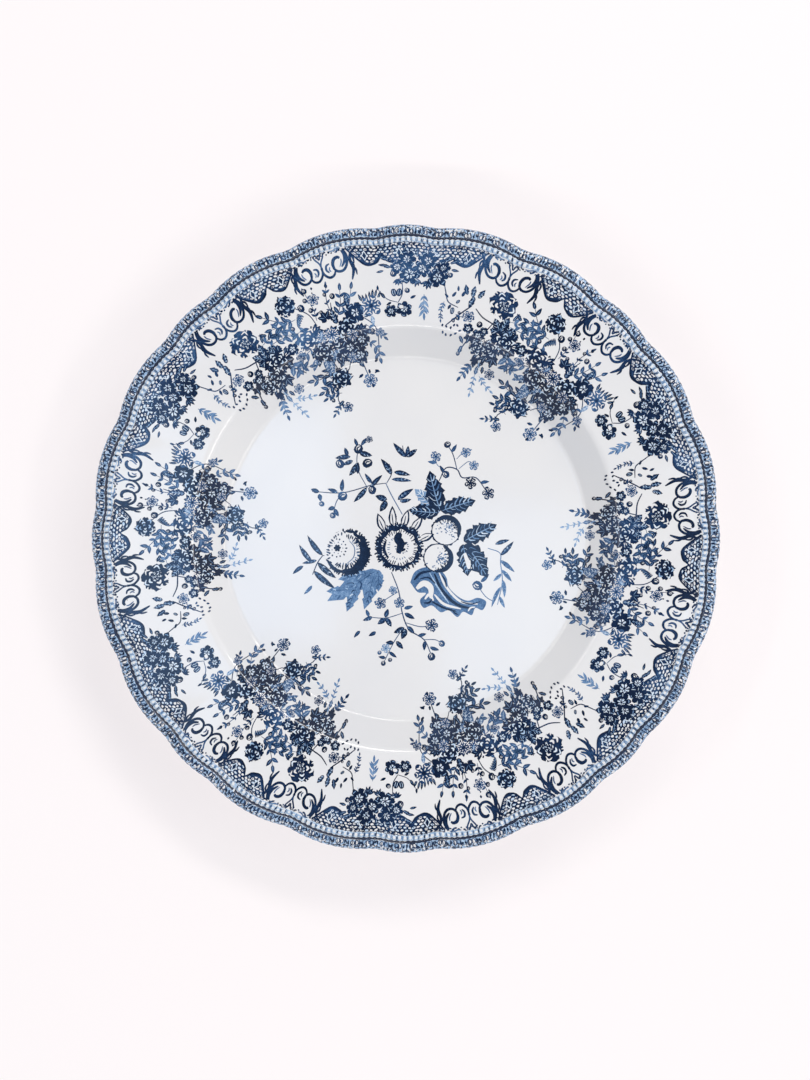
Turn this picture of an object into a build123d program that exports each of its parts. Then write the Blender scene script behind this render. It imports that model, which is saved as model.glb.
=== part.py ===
from build123d import *
import os
from math import cos, radians, sin

# A china dinner plate with a shaped edge, taken apart as it was made: the fired clay body, the transfer
# prints laid on its face, and the clear glaze fired over both, which is wiped off the foot ring and so
# comes as two pieces. Lengths are in millimetres, +Z is up, and the origin is on the table at the centre
# of the foot ring. Each transfer is one film of even thickness over the patch of clay that it covers.

# Driving dimensions.
PLATE_WIDTH = 260.0  # across the wide lobes of the edge, over the glaze
GLAZE = 0.3  # thickness of the fired glaze
INK = 0.08  # height given to the ink film of a transfer

# The shaped edge: eight sectors, each with two wide lobes and a narrow one, with notches between them.
SECTORS = 8
SECTOR_ANGLE = 360 / SECTORS
NARROW_LOBE_ANGLE = 11.4
WIDE_CREST = PLATE_WIDTH / 2 - GLAZE  # radius of the body at the crest of a wide lobe
NARROW_CREST = WIDE_CREST - 0.7
NOTCH = WIDE_CREST - 1.9
NOTCH_FILLET = 14.0

# The moulding along the edge: a thick outer bead and a slim inner one, both following the lobes.
OUTER_BEAD_RADIUS = 2.4
OUTER_BEAD_HEIGHT = 22.8
INNER_BEAD_RADIUS = 1.4
INNER_BEAD_INSET = 5.8
INNER_BEAD_HEIGHT = 23.3

# Corners of the body's section, each with its fillet, from the well outwards and back to the foot.
WELL_FLOOR = 7.2
FOOT_RECESS = 3.0
REACH = 134.0  # past the shaped edge, which trims the section
SECTION_TOP = 25.6
SECTION = [
    ((75.5, WELL_FLOOR), 3.0),
    ((88.0, 19.0), 6.0),
    ((REACH, SECTION_TOP), 0.0),
    ((REACH, 20.6), 0.0),
    ((122.0, 20.6), 20.0),
    ((91.2, 15.3), 8.0),
    ((78.6, 3.8), 2.0),
    ((76.0, 0.0), 0.9),
    ((72.8, 0.0), 0.9),
    ((70.6, FOOT_RECESS), 1.2),
]
BARE_FOOT = 0.8  # the glaze is wiped off the foot ring up to this height

# The prints: six border transfers that meet around the face, and one in the middle of the well.
BORDER_TRANSFERS = 6
TRANSFER_ANGLE = 360 / BORDER_TRANSFERS
BORDER_INNER = 54.0
BORDER_OUTER = 120.0
CENTRE_PRINT_RADIUS = 44.0


def polar(radius, angle):
    return (radius * cos(radians(angle)), radius * sin(radians(angle)))


def lobe(first, last, crest):
    """One outward arc of the edge, from notch to notch."""
    ThreePointArc(polar(NOTCH, first), polar(crest, (first + last) / 2), polar(NOTCH, last))


def bead(line, radius, height):
    """A round bead along a sketch's outline, in the open builder."""
    path = line.sketch.face().outer_wire().moved(Location((0, 0, height)))
    with BuildSketch(Plane(origin=path @ 0, z_dir=path % 0)) as bead_section:
        Circle(radius)
    sweep(sections=bead_section.sketch, path=path)


def shaped_plate(section, trim_line, grown):
    """A whole plate in the open builder: the section is turned and trimmed to the shaped edge, and the two
    beads are laid on it, larger than the bare body's by what the section has grown."""
    add(section.sketch)
    revolve(axis=Axis.Z)
    extrude(trim_line.sketch, amount=2 * SECTION_TOP, mode=Mode.INTERSECT)
    bead(outer_bead_line, OUTER_BEAD_RADIUS + grown, OUTER_BEAD_HEIGHT)
    bead(inner_bead_line, INNER_BEAD_RADIUS + grown, INNER_BEAD_HEIGHT)


# The outline of the edge, and the lines inside it that the beads and the trimming follow.
with BuildSketch() as shaped_outline:
    with BuildLine():
        for sector in range(SECTORS):
            narrow = sector * SECTOR_ANGLE
            first = narrow + NARROW_LOBE_ANGLE / 2
            middle = narrow + SECTOR_ANGLE / 2
            last = narrow + SECTOR_ANGLE - NARROW_LOBE_ANGLE / 2
            lobe(first - NARROW_LOBE_ANGLE, first, NARROW_CREST)
            lobe(first, middle, WIDE_CREST)
            lobe(middle, last, WIDE_CREST)
    make_face()
    fillet(shaped_outline.vertices(), NOTCH_FILLET)

with BuildSketch() as outer_bead_line:
    add(shaped_outline.sketch)
    offset(amount=-OUTER_BEAD_RADIUS)

with BuildSketch() as inner_bead_line:
    add(shaped_outline.sketch)
    offset(amount=-INNER_BEAD_INSET)

with BuildSketch() as glazed_trim_line:
    add(shaped_outline.sketch)
    offset(amount=GLAZE - OUTER_BEAD_RADIUS)

# Half sections, drawn from the axis outwards.
with BuildSketch(Plane.XZ) as body_section:
    with BuildLine():
        FilletPolyline(
            [(0, WELL_FLOOR), *[corner for corner, _ in SECTION], (0, FOOT_RECESS)],
            radius=[size for _, size in SECTION],
        )
        Line((0, FOOT_RECESS), (0, WELL_FLOOR))
    make_face()

with BuildSketch(Plane.XZ) as glazed_section:
    add(body_section.sketch)
    offset(amount=GLAZE)
    with Locations((REACH, 0)):
        Rectangle(2 * REACH, 4 * SECTION_TOP, mode=Mode.INTERSECT)

with BuildSketch(Plane.XZ) as border_film:
    with Locations((0, INK)):
        add(body_section.sketch_local)
    add(body_section.sketch_local, mode=Mode.SUBTRACT)
    with Locations(((BORDER_INNER + BORDER_OUTER) / 2, 0)):
        Rectangle(BORDER_OUTER - BORDER_INNER, 4 * SECTION_TOP, mode=Mode.INTERSECT)

# The fired clay, with its foot ring and moulded edge.
with BuildPart() as china_body:
    shaped_plate(body_section, outer_bead_line, 0)
china_body.part.label = "china_body"

# The transfers.
with BuildPart() as centre_print:
    with BuildSketch(Plane.XY.offset(WELL_FLOOR)):
        Circle(CENTRE_PRINT_RADIUS)
    extrude(amount=INK)
centre_print.part.label = "centre_print"

border_prints = []
for number in range(BORDER_TRANSFERS):
    with BuildPart() as border_print:
        add(border_film.sketch, rotation=(0, 0, number * TRANSFER_ANGLE))
        revolve(axis=Axis.Z, revolution_arc=TRANSFER_ANGLE)
    border_print.part.label = f"border_print_{number + 1}"
    border_prints.append(border_print.part)

# The glaze, in the two pieces that the bare foot ring leaves.
with BuildPart() as whole_glaze:
    shaped_plate(glazed_section, glazed_trim_line, GLAZE)
    add([china_body.part, centre_print.part, *border_prints], mode=Mode.SUBTRACT)
    with Locations((0, 0, BARE_FOOT)):
        Cylinder(
            radius=PLATE_WIDTH,
            height=2 * BARE_FOOT,
            align=(Align.CENTER, Align.CENTER, Align.MAX),
            mode=Mode.SUBTRACT,
        )
smaller, larger = whole_glaze.part.solids().sort_by(SortBy.VOLUME)

with BuildPart() as glaze_coat:
    add(larger)
glaze_coat.part.label = "glaze_coat"

with BuildPart() as recess_glaze:
    add(smaller)
recess_glaze.part.label = "recess_glaze"

os.makedirs("parts", exist_ok=True)
export_step(china_body.part, "parts/china_body.step")
export_step(glaze_coat.part, "parts/glaze_coat.step")
export_step(recess_glaze.part, "parts/recess_glaze.step")
export_step(centre_print.part, "parts/centre_print.step")
for piece in border_prints:
    export_step(piece, f"parts/{piece.label}.step")
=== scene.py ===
import bpy
import numpy as np
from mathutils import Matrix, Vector
from mathutils.geometry import delaunay_2d_cdt


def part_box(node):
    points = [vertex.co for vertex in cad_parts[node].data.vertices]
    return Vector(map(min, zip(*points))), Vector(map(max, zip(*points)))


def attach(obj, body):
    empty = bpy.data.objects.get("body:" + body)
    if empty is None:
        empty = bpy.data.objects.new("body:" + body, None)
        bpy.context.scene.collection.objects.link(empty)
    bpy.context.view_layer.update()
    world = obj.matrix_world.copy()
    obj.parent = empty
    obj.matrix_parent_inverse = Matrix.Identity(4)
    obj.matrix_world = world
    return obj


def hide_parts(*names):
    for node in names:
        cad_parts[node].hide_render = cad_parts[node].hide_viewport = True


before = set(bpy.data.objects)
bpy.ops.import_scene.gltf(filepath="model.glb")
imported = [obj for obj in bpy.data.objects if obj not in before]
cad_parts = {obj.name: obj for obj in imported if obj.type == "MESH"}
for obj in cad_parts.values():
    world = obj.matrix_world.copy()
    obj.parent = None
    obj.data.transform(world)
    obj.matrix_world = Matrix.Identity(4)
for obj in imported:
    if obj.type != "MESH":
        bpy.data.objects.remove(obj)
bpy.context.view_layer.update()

MM = 0.001  # lengths below are in millimetres, and go into a mesh times this
TURN = 2 * np.pi
draw = np.random.default_rng(1840)  # the engraver's unsteady hand

# ---------------------------------------------------------------- sizes, from the frame where it has them
GLAZE = (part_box("glaze_coat")[1].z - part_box("china_body")[1].z) / MM
CLAY_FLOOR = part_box("centre_print")[0].z / MM  # top of the clay in the well

# The shaped edge: eight sectors, each a narrow lobe and two wide ones, as arcs that meet in soft notches.
SECTORS = 8
NARROW_HALF = 5.7  # degrees, half of a narrow lobe
NOTCH_RADIUS = 127.8 + GLAZE
WIDE_CREST = 129.7 + GLAZE
NARROW_CREST = 129.0 + GLAZE
NOTCH_SOFTNESS = 1.13
MEAN_EDGE = 129.3

# Corners of the clay's section with their fillets: the face outwards, the back inwards, and inside the foot
# ring.
FACE = [(0, CLAY_FLOOR, 0), (75.5, CLAY_FLOOR, 3), (88, 19, 6), (134, 25.6, 0)]
BACK = [(134, 20.6, 0), (122, 20.6, 20), (91.2, 15.3, 8), (78.6, 3.8, 2), (76, 0, 0.9), (72.8, 0, 0)]
RECESS = [(72.8, 0, 0), (70.6, 3, 1.2), (0, 3, 0)]
BARE_FOOT = 0.8

# The moulding, as distances in from the glazed edge.
BEAD_RADIUS = 2.4 + GLAZE
BEAD_HEIGHT = 22.8
RIDGE_RADIUS = 1.4 + GLAZE
RIDGE_INSET = 5.8 + GLAZE
RIDGE_HEIGHT = 23.3
MOULDING_INSET = 10.0  # the moulded piece of the surface starts this far in
SHAPING_STARTS = 98.0  # the face begins to follow the lobes at this radius
PEARLS = 344  # along the ridge
GADROONS = 264  # along the bead
PEARL_RISE = 0.14
GADROON_RISE = 0.16

# Columns of the glaze's surfaces around the plate.
FACE_COLUMNS = 720
EDGE_COLUMNS = 2160  # eight or so to each gadroon
RECESS_COLUMNS = 360

# The transfers: the angle at which each border repeat was laid, and how strongly it printed.
BORDER_ANGLES = [86.7, 24.0, -37.0, -97.0, -153.5, -211.0]
BORDER_INK = [0.86, 0.94, 0.98, 1.04, 0.98, 0.92]
REPEAT = 60.0  # degrees that one repeat is drawn over, before it is stretched to meet its neighbours
BAND_STARTS = -28.85  # of those, where its stretch of the band on the moulding starts and ends
BAND_ENDS = 31.15
INK_LIFT = 0.03
PANEL_RADIUS = 117.0  # the lace and the scrolls are drawn straight, and bent to this radius
INNER_OF_RIDGE = MEAN_EDGE - 7.4  # where the lace meets the ridge
LACE_PITCH = 1.9
LACE_RISE = 1.2  # from row to row of the lace


# ---------------------------------------------------------------- shape of the plate
def offset_corners(corners, amount):
    """A section's corners after each straight run is moved to its left by amount."""
    at = np.array([c[:2] for c in corners], float)
    run = np.diff(at, axis=0)
    run /= np.linalg.norm(run, axis=1)[:, None]
    left = np.stack([-run[:, 1], run[:, 0]], 1)
    moved = [at[0] + left[0] * amount]
    for before, after, corner in zip(left, left[1:], at[1:]):
        half = (before + after) / np.linalg.norm(before + after)
        moved.append(corner + half * amount / (half @ before))
    moved.append(at[-1] + left[-1] * amount)
    return [(r, z, c[2]) for (r, z), c in zip(moved, corners)]


def rounded(corners, longest=3.0, arc_steps=10):
    """Points along a section: an arc at each corner with a fillet, and straight runs cut to a longest
    step."""
    at = np.array([c[:2] for c in corners], float)
    points = [at[:1]]
    for before, here, after, (_, _, fillet) in zip(at, at[1:], at[2:], corners[1:]):
        into = (here - before) / np.linalg.norm(here - before)
        out = (after - here) / np.linalg.norm(after - here)
        turn = np.arccos(np.clip(into @ out, -1, 1))
        cut = fillet * np.tan(turn / 2)
        left = np.sign(into[0] * out[1] - into[1] * out[0]) * np.array([-into[1], into[0]])
        angle = np.linspace(0, turn, arc_steps + 1 if fillet else 1)[:, None]
        points.append(here - into * cut + fillet * (left * (1 - np.cos(angle)) + into * np.sin(angle)))
    line = np.concatenate(points + [at[-1:]])
    parts = []
    for a, b in zip(line, line[1:]):
        steps = max(int(np.ceil(np.linalg.norm(b - a) / longest)), 1)
        parts.append(a + (b - a) * np.arange(steps)[:, None] / steps)
    return np.concatenate(parts + [line[-1:]])


def soft_max(a, b, width):
    """The larger of two heights, with the crease between them filled by a small round of the given
    width."""
    near = np.maximum(width - np.abs(a - b), 0) / width
    return np.maximum(a, b) + near**2 * width / 4


def ease(t):
    """From 0 to 1 and level at both ends."""
    t = np.clip(t, 0, 1)
    return t * t * (3 - 2 * t)


def lobe_radius(away, half, crest):
    """Radius of one lobe's arc, away radians from its crest. The arc passes its crest and both notches."""
    chord = NOTCH_RADIUS * np.sin(half)
    rise = crest - NOTCH_RADIUS * np.cos(half)
    bow = (chord**2 + rise**2) / (2 * rise)
    centre = crest - bow
    return centre * np.cos(away) + np.sqrt(np.maximum(bow**2 - (centre * np.sin(away)) ** 2, 0))


def edge_radius(angle):
    """Radius of the glazed edge at an angle in radians: the outermost of the sector's lobes."""
    sector = TURN / SECTORS
    narrow = np.radians(NARROW_HALF)
    wide = (sector / 2 - narrow) / 2
    away = np.abs((angle + sector / 2) % sector - sector / 2)
    inner = lobe_radius(away, narrow, NARROW_CREST)
    outer = lobe_radius(away - narrow - wide, wide, WIDE_CREST)
    opposite = lobe_radius(away - narrow - 3 * wide, wide, WIDE_CREST)
    return soft_max(soft_max(inner, outer, NOTCH_SOFTNESS), opposite, NOTCH_SOFTNESS)


face_line = rounded(offset_corners(FACE, GLAZE), longest=0.4)
face_slope = np.gradient(face_line[:, 1]) / np.gradient(face_line[:, 0])


def face_height(radius):
    """Height of the glazed face at a radius, as if the plate were round."""
    return np.interp(radius, face_line[:, 0], face_line[:, 1])


def shaped_radius(radius, angle):
    """Where a round plate's radius lies on this one, whose rim follows the lobes more and more towards the
    edge."""
    reach = MEAN_EDGE - MOULDING_INSET - SHAPING_STARTS
    return radius + (edge_radius(angle) - MEAN_EDGE) * ease((radius - SHAPING_STARTS) / reach)


def face_point(radius, angle, lift=0.0):
    """A point on the glazed face, from a round plate's radius and an angle in radians."""
    shaped = shaped_radius(radius, angle)
    height = face_height(radius) + lift
    return np.stack(np.broadcast_arrays(shaped * np.cos(angle), shaped * np.sin(angle), height), -1)


def face_normal(radius, angle):
    """The face's outward direction there."""
    slope = np.interp(radius, face_line[:, 0], face_slope)
    normal = np.stack([-slope * np.cos(angle), -slope * np.sin(angle), np.ones_like(angle)], -1)
    return normal / np.linalg.norm(normal, axis=-1)[..., None]


def round_top(inset, centre, height, radius):
    """Height of a bead's upper half over a line across it, and far down where the line misses it."""
    away = np.abs(inset - centre)
    return np.where(away < radius, height + np.sqrt(np.maximum(radius**2 - away**2, 0)), 0.0)


def edge_section():
    """The moulded edge's section, as distance in from the edge and height: along the rim, over the ridge
    and the bead as the highest of the three, round the bead's outside and back along the underside."""
    inset = np.concatenate([np.arange(MOULDING_INSET, 8.2, -0.6), np.arange(8.2, BEAD_RADIUS, -0.24)])
    rim = face_height(MEAN_EDGE - inset)
    ridge = round_top(inset, RIDGE_INSET, RIDGE_HEIGHT, RIDGE_RADIUS)
    bead = round_top(inset, BEAD_RADIUS, BEAD_HEIGHT, BEAD_RADIUS)
    top = soft_max(soft_max(rim, ridge, 0.3), bead, 0.3)
    around = np.radians(np.arange(90, -84, -12))
    outside = np.stack(
        [BEAD_RADIUS - BEAD_RADIUS * np.cos(around), BEAD_HEIGHT + BEAD_RADIUS * np.sin(around)], 1
    )
    under = np.array([[3.6, 20.3], [6.0, 20.3], [MOULDING_INSET - 1, 20.3]])
    return np.concatenate([np.stack([inset, top], 1), outside, under])


section = edge_section()
section_at = np.concatenate([[0], np.cumsum(np.linalg.norm(np.diff(section, axis=0), axis=1))])
section_run = np.gradient(section, axis=0)
section_run /= np.linalg.norm(section_run, axis=1)[:, None]
OUTERMOST = int(np.argmin(section[:, 0]))


def along_section(inset):
    """Distance along the section at which the upper side is this far in from the edge."""
    upper = slice(0, OUTERMOST + 1)
    return np.interp(-np.asarray(inset, float), -section[upper, 0], section_at[upper])


def edge_point(angle, along, lift=0.0):
    """A point on the moulded edge: an angle in radians, the distance along the section from its inner
    start, and how far it stands off the glaze. The bead swells with each gadroon and the ridge with each
    pearl."""
    inset, height, run_in, run_up = (
        np.interp(along, section_at, column) for column in np.column_stack([section, section_run]).T
    )
    on_bead = np.clip((3.9 - inset) / 1.2, 0, 1) * np.clip((height - 20.8) / 1.5, 0, 1)
    on_ridge = np.clip(1 - np.abs(inset - RIDGE_INSET) / 1.3, 0, 1)
    gadroon = np.abs(np.sin(angle * GADROONS / 2)) - 0.7
    pearl = np.abs(np.sin(angle * PEARLS / 2)) - 0.7
    off = lift + GADROON_RISE * on_bead * gadroon + PEARL_RISE * on_ridge * pearl
    radius = edge_radius(angle) - inset - off * run_up
    return np.stack(
        np.broadcast_arrays(radius * np.cos(angle), radius * np.sin(angle), height - off * run_in), -1
    )


def edge_normal(angle, along):
    """The moulded edge's outward direction, from two short steps over it."""
    step = 0.02
    around = edge_point(angle + step / MEAN_EDGE, along) - edge_point(angle - step / MEAN_EDGE, along)
    across = edge_point(angle, along + step) - edge_point(angle, along - step)
    normal = np.cross(across, around)
    return normal / np.linalg.norm(normal, axis=-1)[..., None]


# ---------------------------------------------------------------- pieces
def new_piece(name, points, faces, material, slot, *nodes):
    """A mesh piece of the plate, from points in millimetres, which stands for the named CAD nodes."""
    mesh = bpy.data.meshes.new(name)
    mesh.from_pydata((points * MM).tolist(), [], faces)
    mesh.shade_smooth()
    mesh.materials.append(material)
    piece = bpy.data.objects.new(name, mesh)
    bpy.context.scene.collection.objects.link(piece)
    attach(piece, "root")
    for node in nodes:
        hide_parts(node)
    return piece


def ring_faces(rows, around):
    """Quads of a grid that closes around its columns, facing the side from which the rows run outwards."""
    index = np.arange(rows * around).reshape(rows, around)
    nearer = index[:-1]
    further = index[1:]
    quads = np.stack([nearer, further, np.roll(further, -1, 1), np.roll(nearer, -1, 1)], -1)
    return quads.reshape(-1, 4).tolist()


def face_like(line, angle):
    """Points of a section around the plate, following the lobes as the face does."""
    radius = shaped_radius(line[:, :1], angle)
    height = line[:, 1:] + 0 * angle
    return np.stack([radius * np.cos(angle), radius * np.sin(angle), height], -1)


def turned_piece(name, line, around, material, slot, *nodes, capped):
    """A section turned about the axis. The end nearest to the axis is closed by one flat cap if it is
    capped."""
    angle = np.arange(around) * TURN / around
    points = face_like(line, angle)
    faces = ring_faces(len(line), around)
    if capped == "start":
        faces.append(list(range(around)))
    if capped == "end":
        faces.append(list(range(len(line) * around - 1, (len(line) - 1) * around - 1, -1)))
    return new_piece(name, points.reshape(-1, 3), faces, material, slot, *nodes)


# ---------------------------------------------------------------- materials
def linear(hex_colour):
    """A colour written as sRGB hex, as the linear colour that shaders take."""
    part = np.array([int(hex_colour[i : i + 2], 16) for i in (1, 3, 5)]) / 255
    return (*np.where(part <= 0.04045, part / 12.92, ((part + 0.055) / 1.055) ** 2.4), 1.0)


def add_node(tree, kind, inputs=None, **settings):
    """A node of a kind, with its settings. Each input is a value, or the socket that feeds it."""
    node = tree.nodes.new(kind)
    for name, value in settings.items():
        setattr(node, name, value)
    for name, value in (inputs or {}).items():
        if isinstance(value, bpy.types.NodeSocket):
            tree.links.new(value, node.inputs[name])
        else:
            node.inputs[name].default_value = value
    return node


def new_material(name, roughness, ior):
    """A material of this roughness and index of refraction, with its nodes and its shader."""
    material = bpy.data.materials.new(name)
    material.use_nodes = True
    shader = material.node_tree.nodes["Principled BSDF"]
    shader.inputs["Roughness"].default_value = roughness
    shader.inputs["IOR"].default_value = ior
    return material, material.node_tree, shader


def colour_ramp(tree, factor, stops):
    """A ramp through (place, hex colour) stops."""
    node = add_node(tree, "ShaderNodeValToRGB", {"Fac": factor})
    ramp = node.color_ramp
    while len(ramp.elements) < len(stops):
        ramp.elements.new(0.5)
    for element, (place, colour) in zip(ramp.elements, stops):
        element.position = place
        element.color = linear(colour)
    return node.outputs["Color"]


def per_mm(millimetres):
    """A texture's scale for a pattern of that size, on coordinates in metres."""
    return 1 / (millimetres * MM)


def glazed_porcelain():
    """Clear lead-free glaze over white porcelain, dipped and glost-fired: glassy, warm white, very slightly
    uneven."""
    material, tree, shader = new_material("glazed_porcelain", 0.07, 1.52)
    place = add_node(tree, "ShaderNodeTexCoord").outputs["Object"]
    cloud = add_node(tree, "ShaderNodeTexNoise", {"Vector": place, "Scale": per_mm(45), "Detail": 2.0})
    body = colour_ramp(tree, cloud.outputs["Fac"], [(0.3, "#e1e2e5"), (0.7, "#e6e6e7")])
    speck = add_node(tree, "ShaderNodeTexVoronoi", {"Vector": place, "Scale": per_mm(22)})
    is_speck = add_node(
        tree, "ShaderNodeMath", {0: speck.outputs["Distance"], 1: 0.012}, operation="LESS_THAN",
    )
    speckled = add_node(
        tree, "ShaderNodeMix", {"Factor": is_speck.outputs[0], "A": body, "B": linear("#a89c8c")},
        data_type="RGBA",
    )
    tree.links.new(speckled.outputs["Result"], shader.inputs["Base Color"])
    ripple = add_node(tree, "ShaderNodeTexNoise", {"Vector": place, "Scale": per_mm(9), "Detail": 1.0})
    bump = add_node(
        tree, "ShaderNodeBump", {"Height": ripple.outputs["Fac"], "Strength": 0.25, "Distance": 0.04 * MM}
    )
    tree.links.new(bump.outputs["Normal"], shader.inputs["Normal"])
    return material


def cobalt_print():
    """Cobalt-blue ink printed from an engraved copper plate by tissue transfer, seen through the glaze. The
    tone attribute says how densely it is engraved; stipple and uneven transfer break it up."""
    material, tree, shader = new_material("cobalt_print", 0.07, 1.52)
    place = add_node(tree, "ShaderNodeTexCoord").outputs["Object"]
    tone = add_node(tree, "ShaderNodeAttribute", attribute_name="tone").outputs["Fac"]
    uneven = add_node(tree, "ShaderNodeTexNoise", {"Vector": place, "Scale": per_mm(3.5), "Detail": 3.0})
    stipple = add_node(tree, "ShaderNodeTexVoronoi", {"Vector": place, "Scale": per_mm(0.55)})
    shift = add_node(
        tree, "ShaderNodeMath", {0: uneven.outputs["Fac"], 1: 0.36, 2: -0.18}, operation="MULTIPLY_ADD"
    ).outputs[0]
    dots = add_node(
        tree, "ShaderNodeMath", {0: stipple.outputs["Distance"], 1: -0.22, 2: 0.09},
        operation="MULTIPLY_ADD",
    ).outputs[0]
    broken = add_node(tree, "ShaderNodeMath", {0: tone, 1: shift}, operation="ADD").outputs[0]
    broken = add_node(tree, "ShaderNodeMath", {0: broken, 1: dots}, operation="ADD").outputs[0]
    ink = colour_ramp(
        tree, broken,
        [
            (0.0, "#dde6ef"), (0.2, "#a2bddb"), (0.42, "#6587b0"), (0.62, "#3a5a83"), (0.8, "#1e3558"),
            (1.0, "#122039"),
        ],
    )
    tree.links.new(ink, shader.inputs["Base Color"])
    return material


def bare_biscuit():
    """Unglazed fired clay where the foot ring was wiped: matt, a little creamier than the glazed china,
    gritty."""
    material, tree, shader = new_material("bare_biscuit", 0.75, 1.5)
    place = add_node(tree, "ShaderNodeTexCoord").outputs["Object"]
    grain = add_node(tree, "ShaderNodeTexNoise", {"Vector": place, "Scale": per_mm(0.6), "Detail": 3.0})
    tree.links.new(
        colour_ramp(tree, grain.outputs["Fac"], [(0.3, "#d9d2c4"), (0.7, "#ece7dc")]),
        shader.inputs["Base Color"],
    )
    return material


# ---------------------------------------------------------------- engraved motifs
# A motif is a list of (tone, outline) pairs in millimetres, later ones over earlier ones, with its own up
# along +Y. Tone 0 leaves the china bare, and tone 1 is the darkest cobalt.
def smooth(points, steps=5):
    """A soft line through points: each span is a cubic whose slope at a point is that between its
    neighbours."""
    p = np.asarray(points, float)
    p = np.concatenate([2 * p[:1] - p[1:2], p, 2 * p[-1:] - p[-2:-1]])
    a, b, c, d = (p[i : len(p) - 3 + i, None] for i in range(4))
    t = np.arange(steps)[None, :, None] / steps
    spans = b + 0.5 * t * (c - a + t * (2 * a - 5 * b + 4 * c - d + t * (3 * b - a - 3 * c + d)))
    return np.concatenate([spans.reshape(-1, 2), p[-2:-1]])


def stroke(points, width, tone=1.0, tip=0.25, steps=5):
    """A cut line that is widest in its middle: the soft line's two sides, tip times as wide at its ends."""
    line = smooth(points, steps)
    run = np.gradient(line, axis=0)
    run /= np.linalg.norm(run, axis=1)[:, None]
    swell = tip + (1 - tip) * np.sin(np.pi * np.linspace(0.02, 0.98, len(line))) ** 0.5
    side = np.stack([-run[:, 1], run[:, 0]], 1) * (width / 2 * swell)[:, None]
    return [(tone, np.concatenate([line - side, (line + side)[::-1]]))]


def oval(wide, high, tone, at=(0, 0), points=10, rough=0.0):
    """An oval, its outline shaken by a share of its size."""
    angle = np.arange(points) * TURN / points
    shake = 1 + rough * draw.uniform(-1, 1, points)
    x = wide / 2 * np.cos(angle) * shake + at[0]
    y = high / 2 * np.sin(angle) * shake + at[1]
    return [(tone, np.stack([x, y], 1))]


def polar(radius, degrees):
    """A point in plan, from a radius and an angle in degrees."""
    return np.array([radius * np.cos(np.radians(degrees)), radius * np.sin(np.radians(degrees))])


def placed(motif, at=(0, 0), turn=0.0, size=1.0):
    """A motif turned anticlockwise in degrees, scaled and moved."""
    across = np.cos(np.radians(turn)) * size
    up = np.sin(np.radians(turn)) * size
    spin = np.array([[across, up], [-up, across]])
    return [(tone, outline @ spin + np.asarray(at, float)) for tone, outline in motif]


def leaf(length, width, tone=1.0, teeth=0, bend=0.0, vein=0.4):
    """A leaf from its stalk at the origin: two sides that swell and close along a bent rib, cut into teeth.
    The rib and the slanting cuts beside it are left lighter, more of them on one side, as if the light came
    from there."""
    count = 8 + 3 * teeth
    t = np.linspace(0, 1, count + 1)
    rib = np.stack([bend * length * t**2, length * t], 1)
    half = width / 2 * np.sin(np.pi * t**0.8) ** 0.8
    if teeth:
        half = half * (1.14 - 0.4 * ((t * teeth) % 1.0))
    half = half * (1 + 0.06 * draw.uniform(-1, 1, len(t)))
    side = np.stack([half, 0 * half], 1)
    motif = [(tone, np.concatenate([rib + side, (rib - side)[-2:0:-1]]))]
    if length > 2.8:
        motif += stroke(rib[1:-2:2], 0.12 + 0.02 * length, vein)
    if length > 4.2:
        lit = draw.choice([-1, 1])
        for place in np.arange(0.14, 0.86, (0.9 + 0.07 * length) / length):
            foot = np.array([bend * length * place**2, length * place])
            reach = width * 0.42 * np.sin(np.pi * place**0.8) ** 0.8 * draw.uniform(0.5, 1.0)
            for way in (-1, 1):
                tip = foot + (way * reach, reach * draw.uniform(0.7, 1.3))
                broad = (0.14 + 0.018 * length) * (1.3 if way == lit else 0.6)
                middle = (foot + tip) / 2 + (0, -0.04 * length)
                cut = [foot + (way * 0.1, 0.1), middle, tip]
                motif += stroke(cut, broad, vein * draw.uniform(0.2, 1.5), tip=0.1)
    return motif


def leaf_between(foot, tip, width, tone=0.95, **settings):
    """A leaf from one place to another."""
    reach = np.subtract(tip, foot)
    turn = np.degrees(np.arctan2(reach[1], reach[0])) - 90
    return placed(leaf(np.hypot(*reach), width, tone, **settings), foot, turn)


def vine_leaf(size, tone=1.0):
    """Five toothed leaves from one stalk, the middle one longest, as a lobed leaf."""
    motif = []
    for turn, share in ((105, 0.6), (-105, 0.6), (52, 0.85), (-52, 0.85), (0, 1.0)):
        motif += placed(leaf(size * share, size * 0.5, tone, teeth=4, bend=0.06), turn=turn)
    return motif


def scallop(radius, petals, tone, depth=0.16, rough=0.04):
    """A disc whose outline bulges once for each petal."""
    angle = np.arange(petals * 6) * TURN / (petals * 6)
    bulge = 1 - depth + depth * np.abs(np.cos(petals * angle / 2)) ** 0.7
    reach = radius * bulge * (1 + rough * draw.uniform(-1, 1, len(angle)))
    return [(tone, np.stack([reach * np.cos(angle), reach * np.sin(angle)], 1))]


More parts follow.
